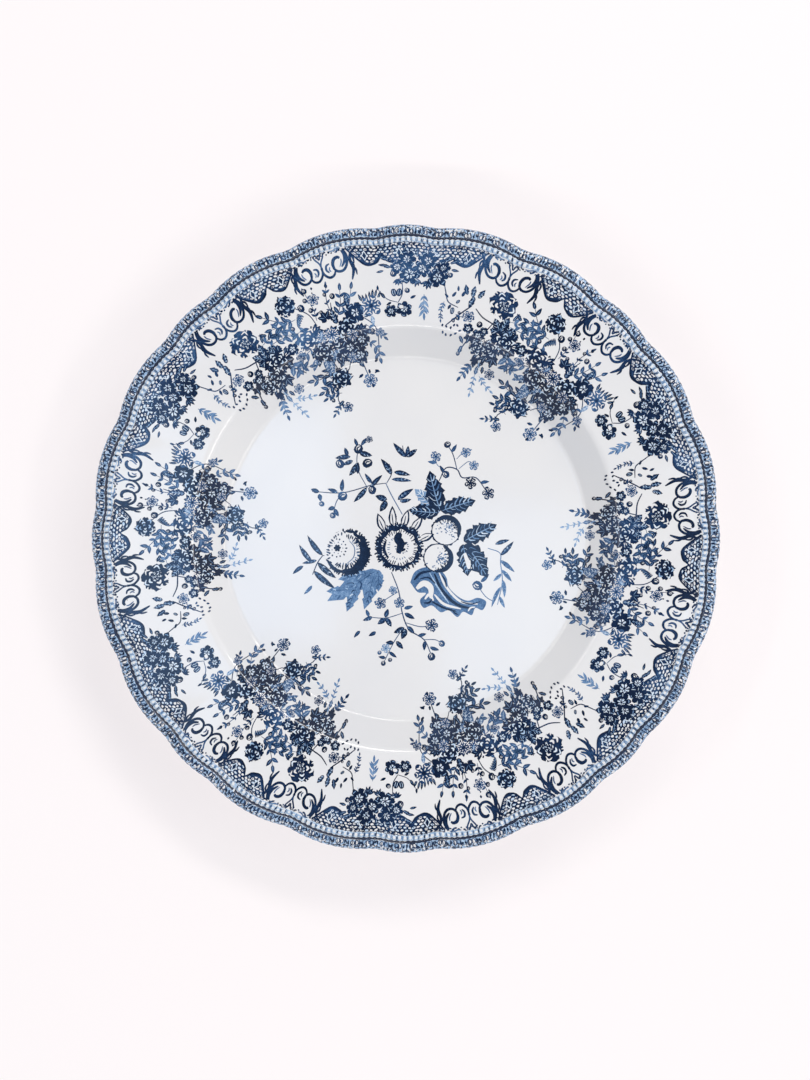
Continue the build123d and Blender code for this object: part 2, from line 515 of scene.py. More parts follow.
def dark_flower(radius, petals=6, tone=1.0, light=0.1):
    """A flower of solid round petals about a small ragged light star, with a few light cuts and a dark
    eye."""
    motif = scallop(radius, petals, tone, depth=0.26, rough=0.08)
    for k in range(petals):
        turn = 360 * (k + 0.5) / petals
        notch = [polar(radius * 0.66, turn), polar(radius * 1.05, turn + draw.uniform(-6, 6))]
        motif += stroke(notch, radius * 0.07, light, tip=0.3)
        if k % 2:
            rim = [polar(radius * 0.78, turn + away) for away in (12, 26, 42)]
            motif += stroke(rim, radius * 0.09, 0.35, tip=0.2)
    motif += scallop(radius * draw.uniform(0.36, 0.46), petals, light, depth=0.45, rough=0.2)
    for k in range(petals - 1):
        turn = 360 * k / (petals - 1) + draw.uniform(-9, 9)
        stamen = [polar(radius * 0.1, turn), polar(radius * 0.36, turn)]
        motif += stroke(stamen, radius * 0.1, tone, tip=0.5)
    motif += oval(radius * 0.24, radius * 0.24, tone, points=6, rough=0.2)
    return motif


def light_flower(radius, petals=6, tone=0.7, light=0.0):
    """A flower in a middle tone: petals parted by short light cuts, each with a curled light edge, and a
    small dark heart with light marks about it."""
    motif = scallop(radius, petals, tone, depth=0.3, rough=0.1)
    for k in range(petals):
        turn = 360 * (k + 0.5) / petals
        motif += stroke([polar(radius * 0.5, turn), polar(radius * 1.05, turn)], radius * 0.13, light)
        curl = [polar(radius * f, turn + a) for a, f in ((14, 0.8), (30, 0.62), (46, 0.8))]
        motif += stroke(curl, radius * draw.uniform(0.08, 0.16), light, tip=0.2)
        mark = [polar(radius * 0.26, turn + 30), polar(radius * 0.5, turn + 30)]
        motif += stroke(mark, radius * 0.1, light, tip=0.4)
    motif += scallop(radius * 0.2, 5, min(tone + 0.2, 1.0), depth=0.3)
    return motif


def rose(radius, tone=1.0, light=0.3):
    """A full rose: curled petals as bold light crescents on a dark ground, tighter towards the heart, and
    nicked round the outside."""
    motif = scallop(radius, 7, tone, depth=0.18, rough=0.1)
    for ring, count, spread in ((0.76, 5, 32), (0.46, 4, 40), (0.2, 2, 60)):
        start = draw.uniform(0, 360)
        for k in range(count):
            middle = start + 360 * k / count + draw.uniform(-8, 8)
            curl = ((-spread * 0.62, 0.86), (0, 1.1), (spread * 0.62, 0.9))
            arc = [polar(radius * ring * reach, middle + away) for away, reach in curl]
            motif += stroke(arc, radius * draw.uniform(0.1, 0.17), light if k % 2 else light * 0.3, tip=0.1)
    for k in range(7):
        turn = draw.uniform(0, 360)
        motif += stroke([polar(radius * 0.84, turn), polar(radius * 1.08, turn + 4)], radius * 0.09, 0.0)
    return motif


def round_bud(wide, high, tone=1.0):
    """A round dark bud, light along one side, with a fold inside the light."""
    motif = oval(wide, high, tone, rough=0.06)
    motif += oval(wide * 0.4, high * 0.56, 0.0, at=(-wide * 0.1, high * 0.08), rough=0.1)
    fold = [(-wide * 0.02, high * 0.3), (-wide * 0.16, 0), (wide * 0.02, -high * 0.2)]
    motif += stroke(fold, wide * 0.16, tone)
    return motif


def striped_bud(wide, high, tone=1.0):
    """A closed bud with two light stripes up it."""
    motif = oval(wide, high, tone, rough=0.04, points=12)
    for x in (-0.16, 0.14):
        stripe = [(x * wide, -0.3 * high), (x * wide * 1.3, 0), (x * wide, 0.32 * high)]
        motif += stroke(stripe, wide * 0.11, 0.2)
    return motif


def spray(points, leaf_length, tone=0.9, pairs=5, stalk=0.28, spread=48, plump=0.45, bloom=0.0):
    """A stem with leaves on both sides along it, one at its tip, and a small bloom there if it has one."""
    line = smooth(points, 6)
    run = np.gradient(line, axis=0)
    motif = stroke(points, stalk, tone, tip=0.5)
    for k in range(pairs):
        place = (k + 0.6) / (pairs + 0.3) * (len(line) - 1)
        i = int(place)
        heading = np.degrees(np.arctan2(run[i, 1], run[i, 0])) - 90
        for way in (-1, 1):
            size = leaf_length * draw.uniform(0.75, 1.15)
            shift = line[i] + run[i] * draw.uniform(-0.4, 0.4)
            side = leaf(size, size * plump, tone * draw.uniform(0.8, 1.05))
            motif += placed(side, at=shift, turn=heading + way * spread)
    heading = np.degrees(np.arctan2(run[-1, 1], run[-1, 0])) - 90
    motif += placed(leaf(leaf_length, leaf_length * plump, tone), at=line[-1], turn=heading)
    if bloom:
        motif += placed(dark_flower(bloom, 5, tone), at=line[-1])
    return motif


def tuft(count, length, tone=0.95, fan=100, plump=0.35):
    """Leaves fanned out from one foot."""
    motif = []
    for k in range(count):
        turn = -fan / 2 + fan * k / max(count - 1, 1)
        motif += placed(leaf(length * draw.uniform(0.85, 1.1), length * plump, tone, bend=0.1), turn=turn)
    return motif


# ---------------------------------------------------------------- from motifs to one film of ink
def inside(outline, points):
    """Which points lie inside an outline: those from which a line to the right crosses it an odd number of
    times."""
    x, y = outline.T[:, :, None]
    next_x, next_y = np.roll(outline, -1, 0).T[:, :, None]
    px, py = points.T
    straddles = (y > py) != (next_y > py)
    rise = np.where(next_y == y, 1.0, next_y - y)
    return (straddles & (px < x + (py - y) * (next_x - x) / rise)).sum(0) % 2 == 1


def flattened(motif, guides=()):
    """One film from overlapping outlines: they are cut along each other into triangles, and each triangle
    takes the tone of the last outline that covers its middle. Guides are more lines to cut along. Bare
    china is left out."""
    points = []
    edges = []
    for line, closed in [(outline, True) for _, outline in motif] + [(line, False) for line in guides]:
        first = len(points)
        edges.extend((i, i + 1) for i in range(first, first + len(line) - 1))
        if closed:
            edges.append((first + len(line) - 1, first))
        points.extend(line.tolist())
    made, _, cells, _, _, _ = delaunay_2d_cdt([Vector(p) for p in points], edges, [], 0, 1e-4, False)
    made = np.array([tuple(v) for v in made])
    cells = np.array(cells)
    middle = made[cells].mean(1)
    order = np.argsort(middle[:, 0])
    middle = middle[order]
    cells = cells[order]
    tone = np.zeros(len(cells))
    for dense, outline in motif:
        low = outline.min(0)
        high = outline.max(0)
        first, last = np.searchsorted(middle[:, 0], (low[0], high[0]))
        near = first + np.flatnonzero((middle[first:last, 1] > low[1]) & (middle[first:last, 1] < high[1]))
        tone[near[inside(outline, middle[near])]] = dense
    kept = tone > 0.02
    used, corners = np.unique(cells[kept], return_inverse=True)
    return made[used], corners.reshape(-1, 3), tone[kept]


def rings(radii, first, last, step=2.0):
    """Arcs of circles between two angles in degrees, as guides where the face curves."""
    lines = []
    for radius in radii:
        angle = np.radians(np.linspace(first, last, int(radius * np.radians(last - first) / step)))
        lines.append(np.stack([radius * np.cos(angle), radius * np.sin(angle)], 1))
    return lines


def on_rim(motif, angle, radius, turn=0.0, size=1.0):
    """A motif set on the face at an angle and radius, its up pointing outwards before its turn."""
    return placed(motif, polar(radius, angle), turn + angle - 90, size)


def bent(motif, angle, mirrored=False):
    """A motif drawn along the rim, X in millimetres clockwise of an angle and Y as radius, bent round the
    plate."""
    found = []
    for tone, outline in motif:
        x = -outline[:, 0] if mirrored else outline[:, 0]
        at = np.radians(angle) - x / PANEL_RADIUS
        found.append((tone, np.stack([outline[:, 1] * np.cos(at), outline[:, 1] * np.sin(at)], 1)))
    return found


def half_scroll():
    """Half of a pair of scrolls, to the right of its middle line: two arches along its inner side, a thick
    comma under the outer one and a thin one under the inner one, a blade down its end, and half of a bell
    in the middle."""
    motif = []
    for path, width, tone, tip in (
        ([(-0.2, 116.2), (0.4, 113.2), (2.3, 111.4), (4.3, 111.9), (5.5, 114.0)], 1.01, 1.0, 0.5),
        (
            [
                (4.6, 116.2), (4.9, 114.2), (6.4, 112.8), (8.6, 113.0), (10.2, 115.0), (10.8, 118.4),
                (9.6, 121.6),
            ],
            1.1, 1.0, 0.5,
        ),
        ([(5.0, 114.2), (4.7, 116.0), (5.5, 117.9), (7.0, 118.5), (7.9, 117.9)], 1.38, 1.0, 0.4),
        ([(8.0, 114.3), (9.6, 116.4), (9.9, 119.0), (9.0, 121.0)], 1.25, 0.95, 0.2),
        ([(7.2, 114.4), (8.2, 116.2), (8.3, 117.6)], 0.56, 0.7, 0.25),
        ([(2.6, 113.3), (1.7, 114.6), (2.0, 116.2), (3.4, 116.8)], 0.9, 0.9, 0.3),
        ([(3.4, 113.4), (2.9, 114.4), (3.3, 115.4)], 0.56, 0.7, 0.25),
        ([(0.0, 115.8), (0.35, 118.0), (1.6, 120.2), (2.0, 121.8)], 0.65, 0.8, 0.5),
        ([(0.1, 119.4), (0.8, 121.4), (2.2, 122.4), (3.0, 121.4)], 0.74, 0.85, 0.4),
        ([(4.4, 121.6), (5.8, 121.4), (7.4, 122.0), (9.0, 121.8)], 0.65, 0.6, 0.4),
        ([(6.6, 120.4), (7.6, 121.2), (8.4, 122.6)], 0.81, 0.8, 0.3),
    ):
        motif += stroke(path, width, tone, tip)
    return motif


def scroll_pair(angle):
    """Two scrolls that mirror each other about an angle in degrees."""
    return bent(half_scroll(), angle) + bent(half_scroll(), angle, mirrored=True)


def panel(first, last, lobes, depth):
    """A patch of lace between two angles in degrees, whose inner edge is a row of lobes under a double
    line: rows of small light cells in a dark net, and a dark diamond in the middle of each lobe. Depth is
    how far the lobes reach in."""
    t = np.linspace(0, 1, 14 * lobes + 1)
    x = (2 * t - 1) * np.radians(last - first) / 2 * PANEL_RADIUS
    dip = np.abs(np.sin(np.pi * lobes * t)) ** 0.55
    ends = np.clip(np.minimum(t, 1 - t) * lobes * 2.0, 0, 1) ** 0.7
    inner = INNER_OF_RIDGE - depth * (0.5 + 0.5 * dip) * (0.08 + 0.92 * ends)
    line = np.stack([x, inner], 1)
    top = np.stack([x, 0 * x + INNER_OF_RIDGE + 0.5], 1)
    motif = [(0.9, np.concatenate([line, top[::-1]]))]
    for row in range(int(depth / LACE_RISE)):
        height = INNER_OF_RIDGE - 0.5 - LACE_RISE * row
        for at_x in np.arange(x[0] + 1.0 + LACE_PITCH / 2 * (row % 2), x[-1] - 0.8, LACE_PITCH):
            if height < np.interp(at_x, x, inner) + 0.9:
                continue
            place = (at_x + draw.uniform(-0.2, 0.2), height + draw.uniform(-0.15, 0.15))
            wide = draw.uniform(1.15, 1.75)
            high = draw.uniform(0.75, 1.05)
            cell = oval(wide, high, draw.choice([0.0, 0.0, 0.12]), rough=0.16, points=8)
            motif += placed(cell, place, draw.uniform(-30, 30))
            if draw.uniform() < 0.3:
                motif += oval(0.55, 0.45, 0.9, at=place, points=5, rough=0.2)
    diamond = np.array([(0, -1.5), (0.8, 0), (0, 1.5), (-0.8, 0)])
    for k in range(lobes):
        at = (x[0] + (x[-1] - x[0]) * (k + 0.5) / lobes, INNER_OF_RIDGE - depth * 0.5)
        motif += [(0.08, diamond * 1.5 + at), (0.95, diamond + at)]
    motif += stroke(line[::2], 0.8, 1.0, tip=0.8, steps=2)
    motif += stroke(line[1:-1:2] + (0, 1.15), 0.34, 0.8, tip=0.5, steps=2)
    return bent(motif, (first + last) / 2)


def finial(angle, lean):
    """A feathered leaf that curls in from the join of a panel and a scroll: a curved rib with barbs on its
    outer side."""
    rib = smooth([(0, -1.6), (0.1, 1.6), (1.0 * lean, 5.2), (0.2 * lean, 9.4)], 6)
    motif = stroke(rib[::6], 1.35, 1.0, tip=0.12)
    for place, reach in ((2, 3.4), (6, 4.0), (10, 3.6)):
        foot = rib[place]
        barb = [foot, foot + (1.2 * lean, reach * 0.4), foot + (1.5 * lean, reach)]
        motif += stroke(barb, 0.8, 1.0, tip=0.12)
    motif += stroke([rib[3], rib[3] + (-0.9 * lean, 1.5), rib[3] + (-1.2 * lean, 3.6)], 0.6, 0.9, tip=0.15)
    motif += stroke([(0, 0.8), (0.5 * lean, -1.6), (2.0 * lean, -3.4)], 0.8, 1.0)
    return on_rim(motif, angle, 118.0, 180 + 6 * lean)


def rim_points(*places):
    """Plan points from pairs of an angle and a radius."""
    return [polar(radius, angle) for angle, radius in places]


def twigs(width, tone, *paths):
    """Bare stems on the rim: each path is a row of pairs of an angle and a radius."""
    motif = []
    for path in paths:
        motif += stroke(rim_points(*path), width, tone, tip=0.5)
    return motif


def scattered(make, *places):
    """Copies of a motif on the rim: each place is an angle, a radius, a size and a turn, outwards if none
    is given."""
    motif = []
    for angle, radius, size, *turn in places:
        motif += on_rim(make(size), angle, radius, turn[0] if turn else 0)
    return motif


def flower_cluster():
    """The round head of dark flowers that crowns each repeat and reaches up into the net."""
    motif = scattered(
        lambda s: leaf(s, s * 0.3),
        (3.3, 116.5, 4.6, 6), (-1.2, 117.0, 4.2, -6), (1.0, 116.0, 4.4, 0),
    )
    motif += scattered(
        lambda s: leaf(s, s * 0.4, 0.95, teeth=2),
        (6.4, 112, 3.8, 60), (-5.6, 114.5, 3.6, -66),
    )
    motif += scattered(
        lambda s: leaf(s, s * 0.36),
        (7.2, 113.4, 3.2, 80), (7.8, 111.2, 3.0, 100), (-6.0, 112.0, 3.2, -96),
    )
    motif += scattered(
        lambda s: tuft(5, s, 0.9, fan=110),
        (-1.5, 106.6, 3.6, 180), (0.9, 107, 3.2, 176), (4.9, 107, 3.0, 190),
    )
    motif += scattered(
        lambda s: dark_flower(s, 7),
        (3.0, 115.0, 3.7), (-1.2, 115.4, 4.0, 20), (2.5, 108.9, 4.2, 40), (-3.4, 108.6, 4.3, 10),
        (-4.4, 112.6, 3.0), (5.0, 112.0, 2.9, 15), (-0.2, 111.6, 3.7, 30),
    )
    motif += scattered(lambda s: round_bud(s, s), (5.8, 109.3, 2.8), (2.9, 102.2, 2.2), (-6.0, 109.8, 2.2))
    return motif


def dense_swag_sprigs():
    """The dense swag's stems and the small leafy sprays at the ends of them."""
    motif = twigs(
        0.42, 0.9, ((29, 107), (26, 101), (25, 95)), ((20.3, 102), (20.6, 97), (19.5, 92)),
        ((15.5, 95), (18, 88), (19, 80), (21, 74)), ((24, 90), (25, 82), (24.3, 74), (28.2, 64), (26, 60)),
        ((17, 86), (16.5, 76), (15, 66)), ((15, 95), (11, 88), (11, 78)), ((28, 92), (32, 85), (34, 80)),
    )
    for path, size, tone in (
        (((30, 101), (33, 104), (35, 108)), 2.6, 0.85),
        (((29, 101), (32, 101), (34.6, 102)), 2.6, 0.8),
        (((27, 94), (31, 96), (33.6, 98)), 2.8, 0.75),
        (((27, 88), (31, 86), (34, 82.5)), 3.0, 0.7),
        (((20, 95), (18.3, 100), (17.6, 105.5)), 2.4, 0.85),
        (((18, 94), (16.4, 99), (15.2, 105)), 2.4, 0.9),
        (((24.6, 97), (24.4, 102), (24.9, 110)), 1.8, 0.85),
        (((20.8, 97), (21, 103), (20.2, 109)), 1.4, 0.8),
        (((25, 78), (29.5, 75), (32, 75.6)), 2.6, 0.85),
        (((26, 71), (28.4, 70), (31, 69.6)), 2.4, 0.9),
        (((26, 66), (28.6, 67), (31, 66.6)), 2.0, 0.85),
        (((14, 84), (11.5, 80), (11, 76)), 2.2, 0.7),
        (((26.4, 62.4), (29, 61), (31.4, 59.4)), 1.6, 0.8),
        (((13.5, 90), (10.6, 86), (9.2, 84)), 1.8, 0.8),
    ):
        motif += spray(rim_points(*path), size * 1.3, tone, pairs=3)
    return motif


def dense_swag_leaves():
    """The dense swag's mass of leaves: toothed ones, tufts, pale ones, two ferns and three lobed leaves."""
    motif = scattered(
        lambda s: leaf(s, s * 0.46, 0.95, teeth=3, bend=0.08),
        (24, 91, 7.2, 160), (21.5, 92, 7.6, -170), (19.4, 91, 7.4, 200), (26.5, 88, 6.4, 140),
        (20.3, 93, 6.6, 10), (18.0, 91, 6.2, -70), (22, 88, 6.6, 185), (23.6, 84, 6.0, 170),
        (25.6, 85, 7.4, 176), (27.2, 86, 7.0, 165), (17.4, 88, 5.4, -110), (21, 80, 5.2, 150),
        (14.0, 88, 4.8, -120), (13.4, 93, 4.6, -60), (16.6, 99, 5.0, 8),
    )
    for angle, radius in (
        (22, 90), (19, 88), (17, 91), (25, 89), (15, 88), (20.5, 84), (23, 86), (16.5, 82), (18, 79),
        (26, 93), (13, 95),
    ):
        motif += on_rim(tuft(6, 3.4, 1.0, fan=200, plump=0.5), angle, radius, draw.uniform(0, 360))
    motif += scattered(
        lambda s: leaf(s, s * 0.42, 0.6, bend=0.1, vein=0.1),
        (26.5, 82, 6, 178), (25.2, 80, 6, 172), (23.4, 84, 6, 190), (28.8, 83, 5, 150),
    )
    motif += scattered(
        lambda s: leaf(s, s * 0.26, 0.9),
        *((27 + k * 0.42, 100.4 - k * 0.7, 3.2, 40 - k * 9) for k in range(6)),
    )
    motif += scattered(
        lambda s: leaf(s, s * 0.3, 1.0),
        *((9.6 + k * 0.62, 99.6 + 0.9 * np.sin(k), 3.4, -24 + k * 7) for k in range(7)),
    )
    motif += scattered(
        lambda s: vine_leaf(s, 1.0),
        (20.6, 86.5, 4.4, 180), (17.9, 92.5, 4.2, -80), (22.4, 96.5, 4.0, 20),
    )
    return motif


def dense_swag_flowers():
    """The dense swag's roses, flowers and buds, with the leaves that lie between them."""
    motif = scattered(
        lambda s: rose(s, 1.0, 0.16),
        (22.8, 87.8, 4.7), (18.4, 89.8, 4.5, 60), (25.9, 84.4, 4.0, 120), (20.4, 80.8, 3.8, 30),
    )
    motif += scattered(
        lambda s: leaf(s, s * 0.5, 1.0, teeth=2),
        (20.2, 77.0, 4.4, -90), (23.3, 80, 3.4, 200), (21.6, 80, 3.2, 170), (27.2, 74.6, 3.4, 80),
        (27.6, 72.3, 3.2, 100), (26.6, 62.8, 3.0, 120), (17.4, 76.5, 3.4, 200), (17.2, 70.6, 2.4, 120),
        (13.2, 71.2, 2.2, -120), (15.0, 72, 2.0, 180), (13.4, 70.0, 1.8, -60), (15.2, 74.6, 2.6, 20),
        (12.7, 74.4, 2.2, -40),
    )
    motif += scattered(rose, (29.7, 107.7, 4.3), (24.1, 71.8, 4.4, 40))
    motif += scattered(lambda s: rose(s, 0.85, 0.05), (28.4, 91.5, 5.0, 20))
    motif += scattered(
        lambda s: dark_flower(s, 6),
        (15.4, 95.5, 4.3), (18.8, 82.5, 3.6, 20), (15.2, 84.4, 3.4, 50), (16.6, 78.4, 3.4),
    )
    motif += scattered(
        lambda s: light_flower(s, 6),
        (11.4, 97.0, 4.4, 10), (15.3, 67.3, 2.9, 180), (22.4, 89.4, 3.2), (23.7, 105.6, 2.6),
    )
    motif += scattered(
        lambda s: light_flower(s, 5),
        (26.0, 59.6, 2.2), (19.0, 78.3, 2.0), (17.3, 87, 2.4), (25.0, 89.9, 2.4), (10.0, 86, 1.7),
    )
    motif += scattered(
        lambda s: round_bud(s, s * 1.15),
        (26.8, 104.2, 2.9), (25.4, 106.6, 1.9), (25.0, 101.8, 1.9), (24.8, 110.5, 2.2), (21.0, 105.8, 1.5),
        (19.5, 104.2, 2.2), (27.2, 68.3, 1.6), (29.8, 64.8, 1.6), (11.9, 86.8, 1.8), (30.5, 98.0, 1.8),
        (23.0, 99.5, 1.6),
    )
    motif += scattered(
        lambda s: oval(s * 0.7, s, 1.0, rough=0.1),
        (23.2, 110.3, 1.2), (21.0, 102.6, 1.0), (23.4, 108.4, 0.8), (20.2, 108.9, 1.8), (14.8, 65.0, 1.6),
    )
    motif += scattered(
        lambda s: leaf(s, s * 0.36, 0.45, bend=0.15, vein=0.1),
        (11.6, 93.0, 4.4, 190), (24.7, 92.0, 3.0, 170),
    )
    return motif


def dense_swag():
    """The swag to the cluster's left: a rose high up, a mass of leaves and flowers, and sprigs that hang
    from it."""
    return dense_swag_sprigs() + dense_swag_leaves() + dense_swag_flowers()


def right_end():
    """The end of the dense swag under the cluster: two striped buds, a flower and a half-open one on thin
    stems."""
    motif = twigs(0.4, 0.9, ((4.0, 106), (4.0, 101), (5.0, 97.4)))
    motif += twigs(0.32, 0.85, ((5.0, 97.4), (7.5, 99), (9.4, 103.4)))
    motif += scattered(
        lambda s: leaf(s, s * 0.42),
        (8.0, 99.4, 3.0, 30), (9.4, 103, 2.2, 0), (6.6, 97.6, 2.4, 120), (2.2, 99.0, 2.6, -60),
    )
    motif += scattered(lambda s: striped_bud(s * 0.72, s), (5.9, 101.5, 3.3, 12), (4.7, 101.5, 3.3, -10))
    motif += scattered(lambda s: dark_flower(s, 6), (6.8, 94.0, 2.7), (3.6, 94.6, 3.3, 25))
    motif += scattered(lambda s: oval(s, s * 0.8, 0.0), (4.3, 95.6, 1.9))
    return motif


def light_fern():
    """A pale fern between the two swags, and the thin curved stem of buds beside it."""
    motif = spray(
        rim_points((-0.9, 101), (-1.0, 97), (-1.2, 93.4)), 3.3, 0.5, pairs=4, stalk=0.35, spread=34,
        plump=0.3,
    )
    motif += twigs(0.45, 0.95, ((-4.9, 107), (-5.8, 102), (-6.6, 99), (-9.0, 97.6)))
    motif += scattered(
        lambda s: leaf(s, s * 0.44),
        (-7.2, 101.4, 2.6, -30), (-9.3, 102.2, 2.8, -20), (-8.3, 104.0, 2.2, 10), (-6.4, 100.8, 2.2, 50),
        (-7.2, 98.2, 2.4, 160),
    )
    motif += scattered(lambda s: striped_bud(s * 0.6, s), (-7.8, 95.8, 2.9), (-8.7, 99.9, 2.0, -40))
    motif += spray(rim_points((-5.6, 99), (-5.2, 95), (-5.4, 91.6)), 1.5, 0.75, pairs=5)
    return motif


def loose_swag():
    """The swag to the cluster's right: a great rose under the scrolls, one large vine leaf, and looser
    sprigs."""
    motif = twigs(
        0.55, 0.95, ((-13, 99), (-15.2, 96.4), (-18.5, 95), (-21, 92)),
        ((-18, 96), (-16, 88), (-13.5, 86), (-11.8, 80)), ((-20.5, 92), (-20, 84), (-18, 76)),
        ((-12, 99.6), (-10, 95.6), (-7, 89.6)), ((-21, 90), (-25, 84), (-27, 80)),
    )
    for path, size, tone in (
        (((-16, 86), (-17.4, 83), (-18.4, 79)), 1.8, 0.4),
        (((-21.5, 99), (-24.6, 100), (-27, 99)), 2.6, 0.7),
        (((-19.6, 90), (-19.9, 86.5), (-19.6, 83)), 1.8, 0.4),
        (((-20, 74), (-22, 72), (-25, 70.6)), 1.5, 0.42),
        (((-18.6, 74), (-19, 70), (-19.4, 66)), 1.5, 0.42),
        (((-16.6, 78), (-15.6, 74.6), (-14.6, 71)), 2.0, 0.75),
        (((-22, 97), (-25.4, 97), (-28.2, 96)), 2.4, 0.75),
        (((-23, 86), (-26, 83), (-28.6, 81.6)), 2.4, 0.7),
        (((-12.8, 93), (-10.8, 94.6), (-9.0, 93)), 1.5, 0.8),
    ):
        motif += spray(rim_points(*path), size * 1.3, tone, pairs=3)
    for angle, radius in (
        (-6.1, 89.3), (-7.1, 89.1), (-8.3, 88.9), (-9.0, 90.2), (-9.8, 90.4), (-6.5, 86.5), (-7.4, 85.8),
        (-8.7, 86), (-10.7, 88.5), (-9.8, 87),
    ):
        motif += on_rim(oval(0.8, 1.25, 0.9, rough=0.1), angle, radius, draw.uniform(-50, 50))
    motif += scattered(
        lambda s: leaf(s, s * 0.46, 0.95, teeth=2, bend=0.06),
        (-10.4, 103.4, 4.2, 26), (-11.6, 103.0, 4.6, 4), (-12.9, 103.2, 4.4, -20), (-12.0, 103.4, 5.0, 170),
        (-11.0, 86.6, 3.4, -140), (-15.0, 86.4, 3.2, 160), (-12.2, 83.0, 3.6, 176), (-18.8, 84.4, 3.6, 170),
        (-21.4, 84.8, 3.8, 200), (-17.2, 82, 3.2, 150), (-16.8, 80.4, 4.4, 190), (-19.4, 80.6, 3.2, 170),
        (-19.8, 78.0, 3.0, 200), (-23.6, 101.4, 3.4, 60), (-25.8, 99.4, 3.4, 80),
    )
    for angle, radius in (
        (-20, 91), (-22.5, 92.5), (-18.6, 86), (-21.6, 87), (-15.4, 88), (-19.4, 82), (-24.6, 91),
    ):
        motif += on_rim(tuft(6, 3.2, 1.0, fan=200, plump=0.5), angle, radius, draw.uniform(0, 360))
    motif += scattered(
        lambda s: leaf(s, s * 0.28, 0.95),
        *((-23.4 + k * 1.5, 99.2 + 0.5 * k, 4.2, -40 + k * 22) for k in range(5)),
    )
    motif += scattered(
        lambda s: vine_leaf(s),
        (-20.4, 93.4, 7.2, -4), (-23.6, 92.0, 6.8, 90), (-24.0, 89.0, 6.2, 140), (-21.4, 89.4, 6.0, 180),
    )
    motif += scattered(
        lambda s: vine_leaf(s),
        (-21.4, 82.4, 3.9, 190), (-13.5, 87.2, 2.9, 175), (-17.0, 79.6, 2.6, 180),
    )
    motif += scattered(
        lambda s: rose(s, 1.0, 0.16),
        (-22.4, 90.4, 4.3), (-19.4, 85.4, 3.8, 40), (-16.4, 84.2, 3.3, 90),
    )
    motif += scattered(
        lambda s: leaf(s, s * 0.5, 0.6, teeth=2, vein=0.2),
        (-18.4, 77.0, 3.4, 186), (-16.1, 76.0, 2.6, 160), (-24.8, 85, 4.2, 150),
    )
    motif += scattered(lambda s: rose(s, 0.95, 0.04), (-18.5, 104.4, 5.9, 30))
    motif += scattered(lambda s: scallop(s, 4, 0.95), (-18.9, 103.8, 2.4, 20))
    motif += scattered(lambda s: rose(s, 1.0, 0.1), (-18.9, 103.8, 2.1, 20))
    motif += scattered(
        lambda s: dark_flower(s, 5),
        (-12.6, 90.3, 2.2), (-15.5, 88.8, 2.6), (-16.6, 91.2, 1.8), (-27.0, 91.0, 2.6, 20),
    )
    motif += scattered(
        lambda s: light_flower(s, 6),
        (-11.9, 95.0, 2.5), (-22.6, 76.4, 2.2), (-28.0, 86.8, 2.2),
    )
    motif += scattered(
        lambda s: round_bud(s, s * 1.1),
        (-15.0, 93.2, 2.4), (-9.4, 93.2, 1.3), (-8.6, 91.8, 1.2), (-9.5, 95.6, 1.2), (-11.8, 79.6, 1.6),
    )
    return motif


def border_repeat():
    """One whole repeat of the border, drawn about angle zero, from the net along the edge down to the
    well."""
    motif = panel(-12.3, 14.65, 4, 8.2) + panel(25.2, 37.1, 2, 8.2)
    motif += scroll_pair(19.9) + scroll_pair(-17.6)
    for angle, lean in ((14.0, -1), (25.6, 1), (-11.9, 1), (-23.3, -1)):
        motif += finial(angle, lean)
    for angle, lean in ((8.4, 1), (-6.4, -1)):
        motif += on_rim(leaf(5.6, 1.5, 1.0), angle, 117.2, 180 + 62 * lean)
    return motif + loose_swag() + dense_swag() + light_fern() + right_end() + flower_cluster()


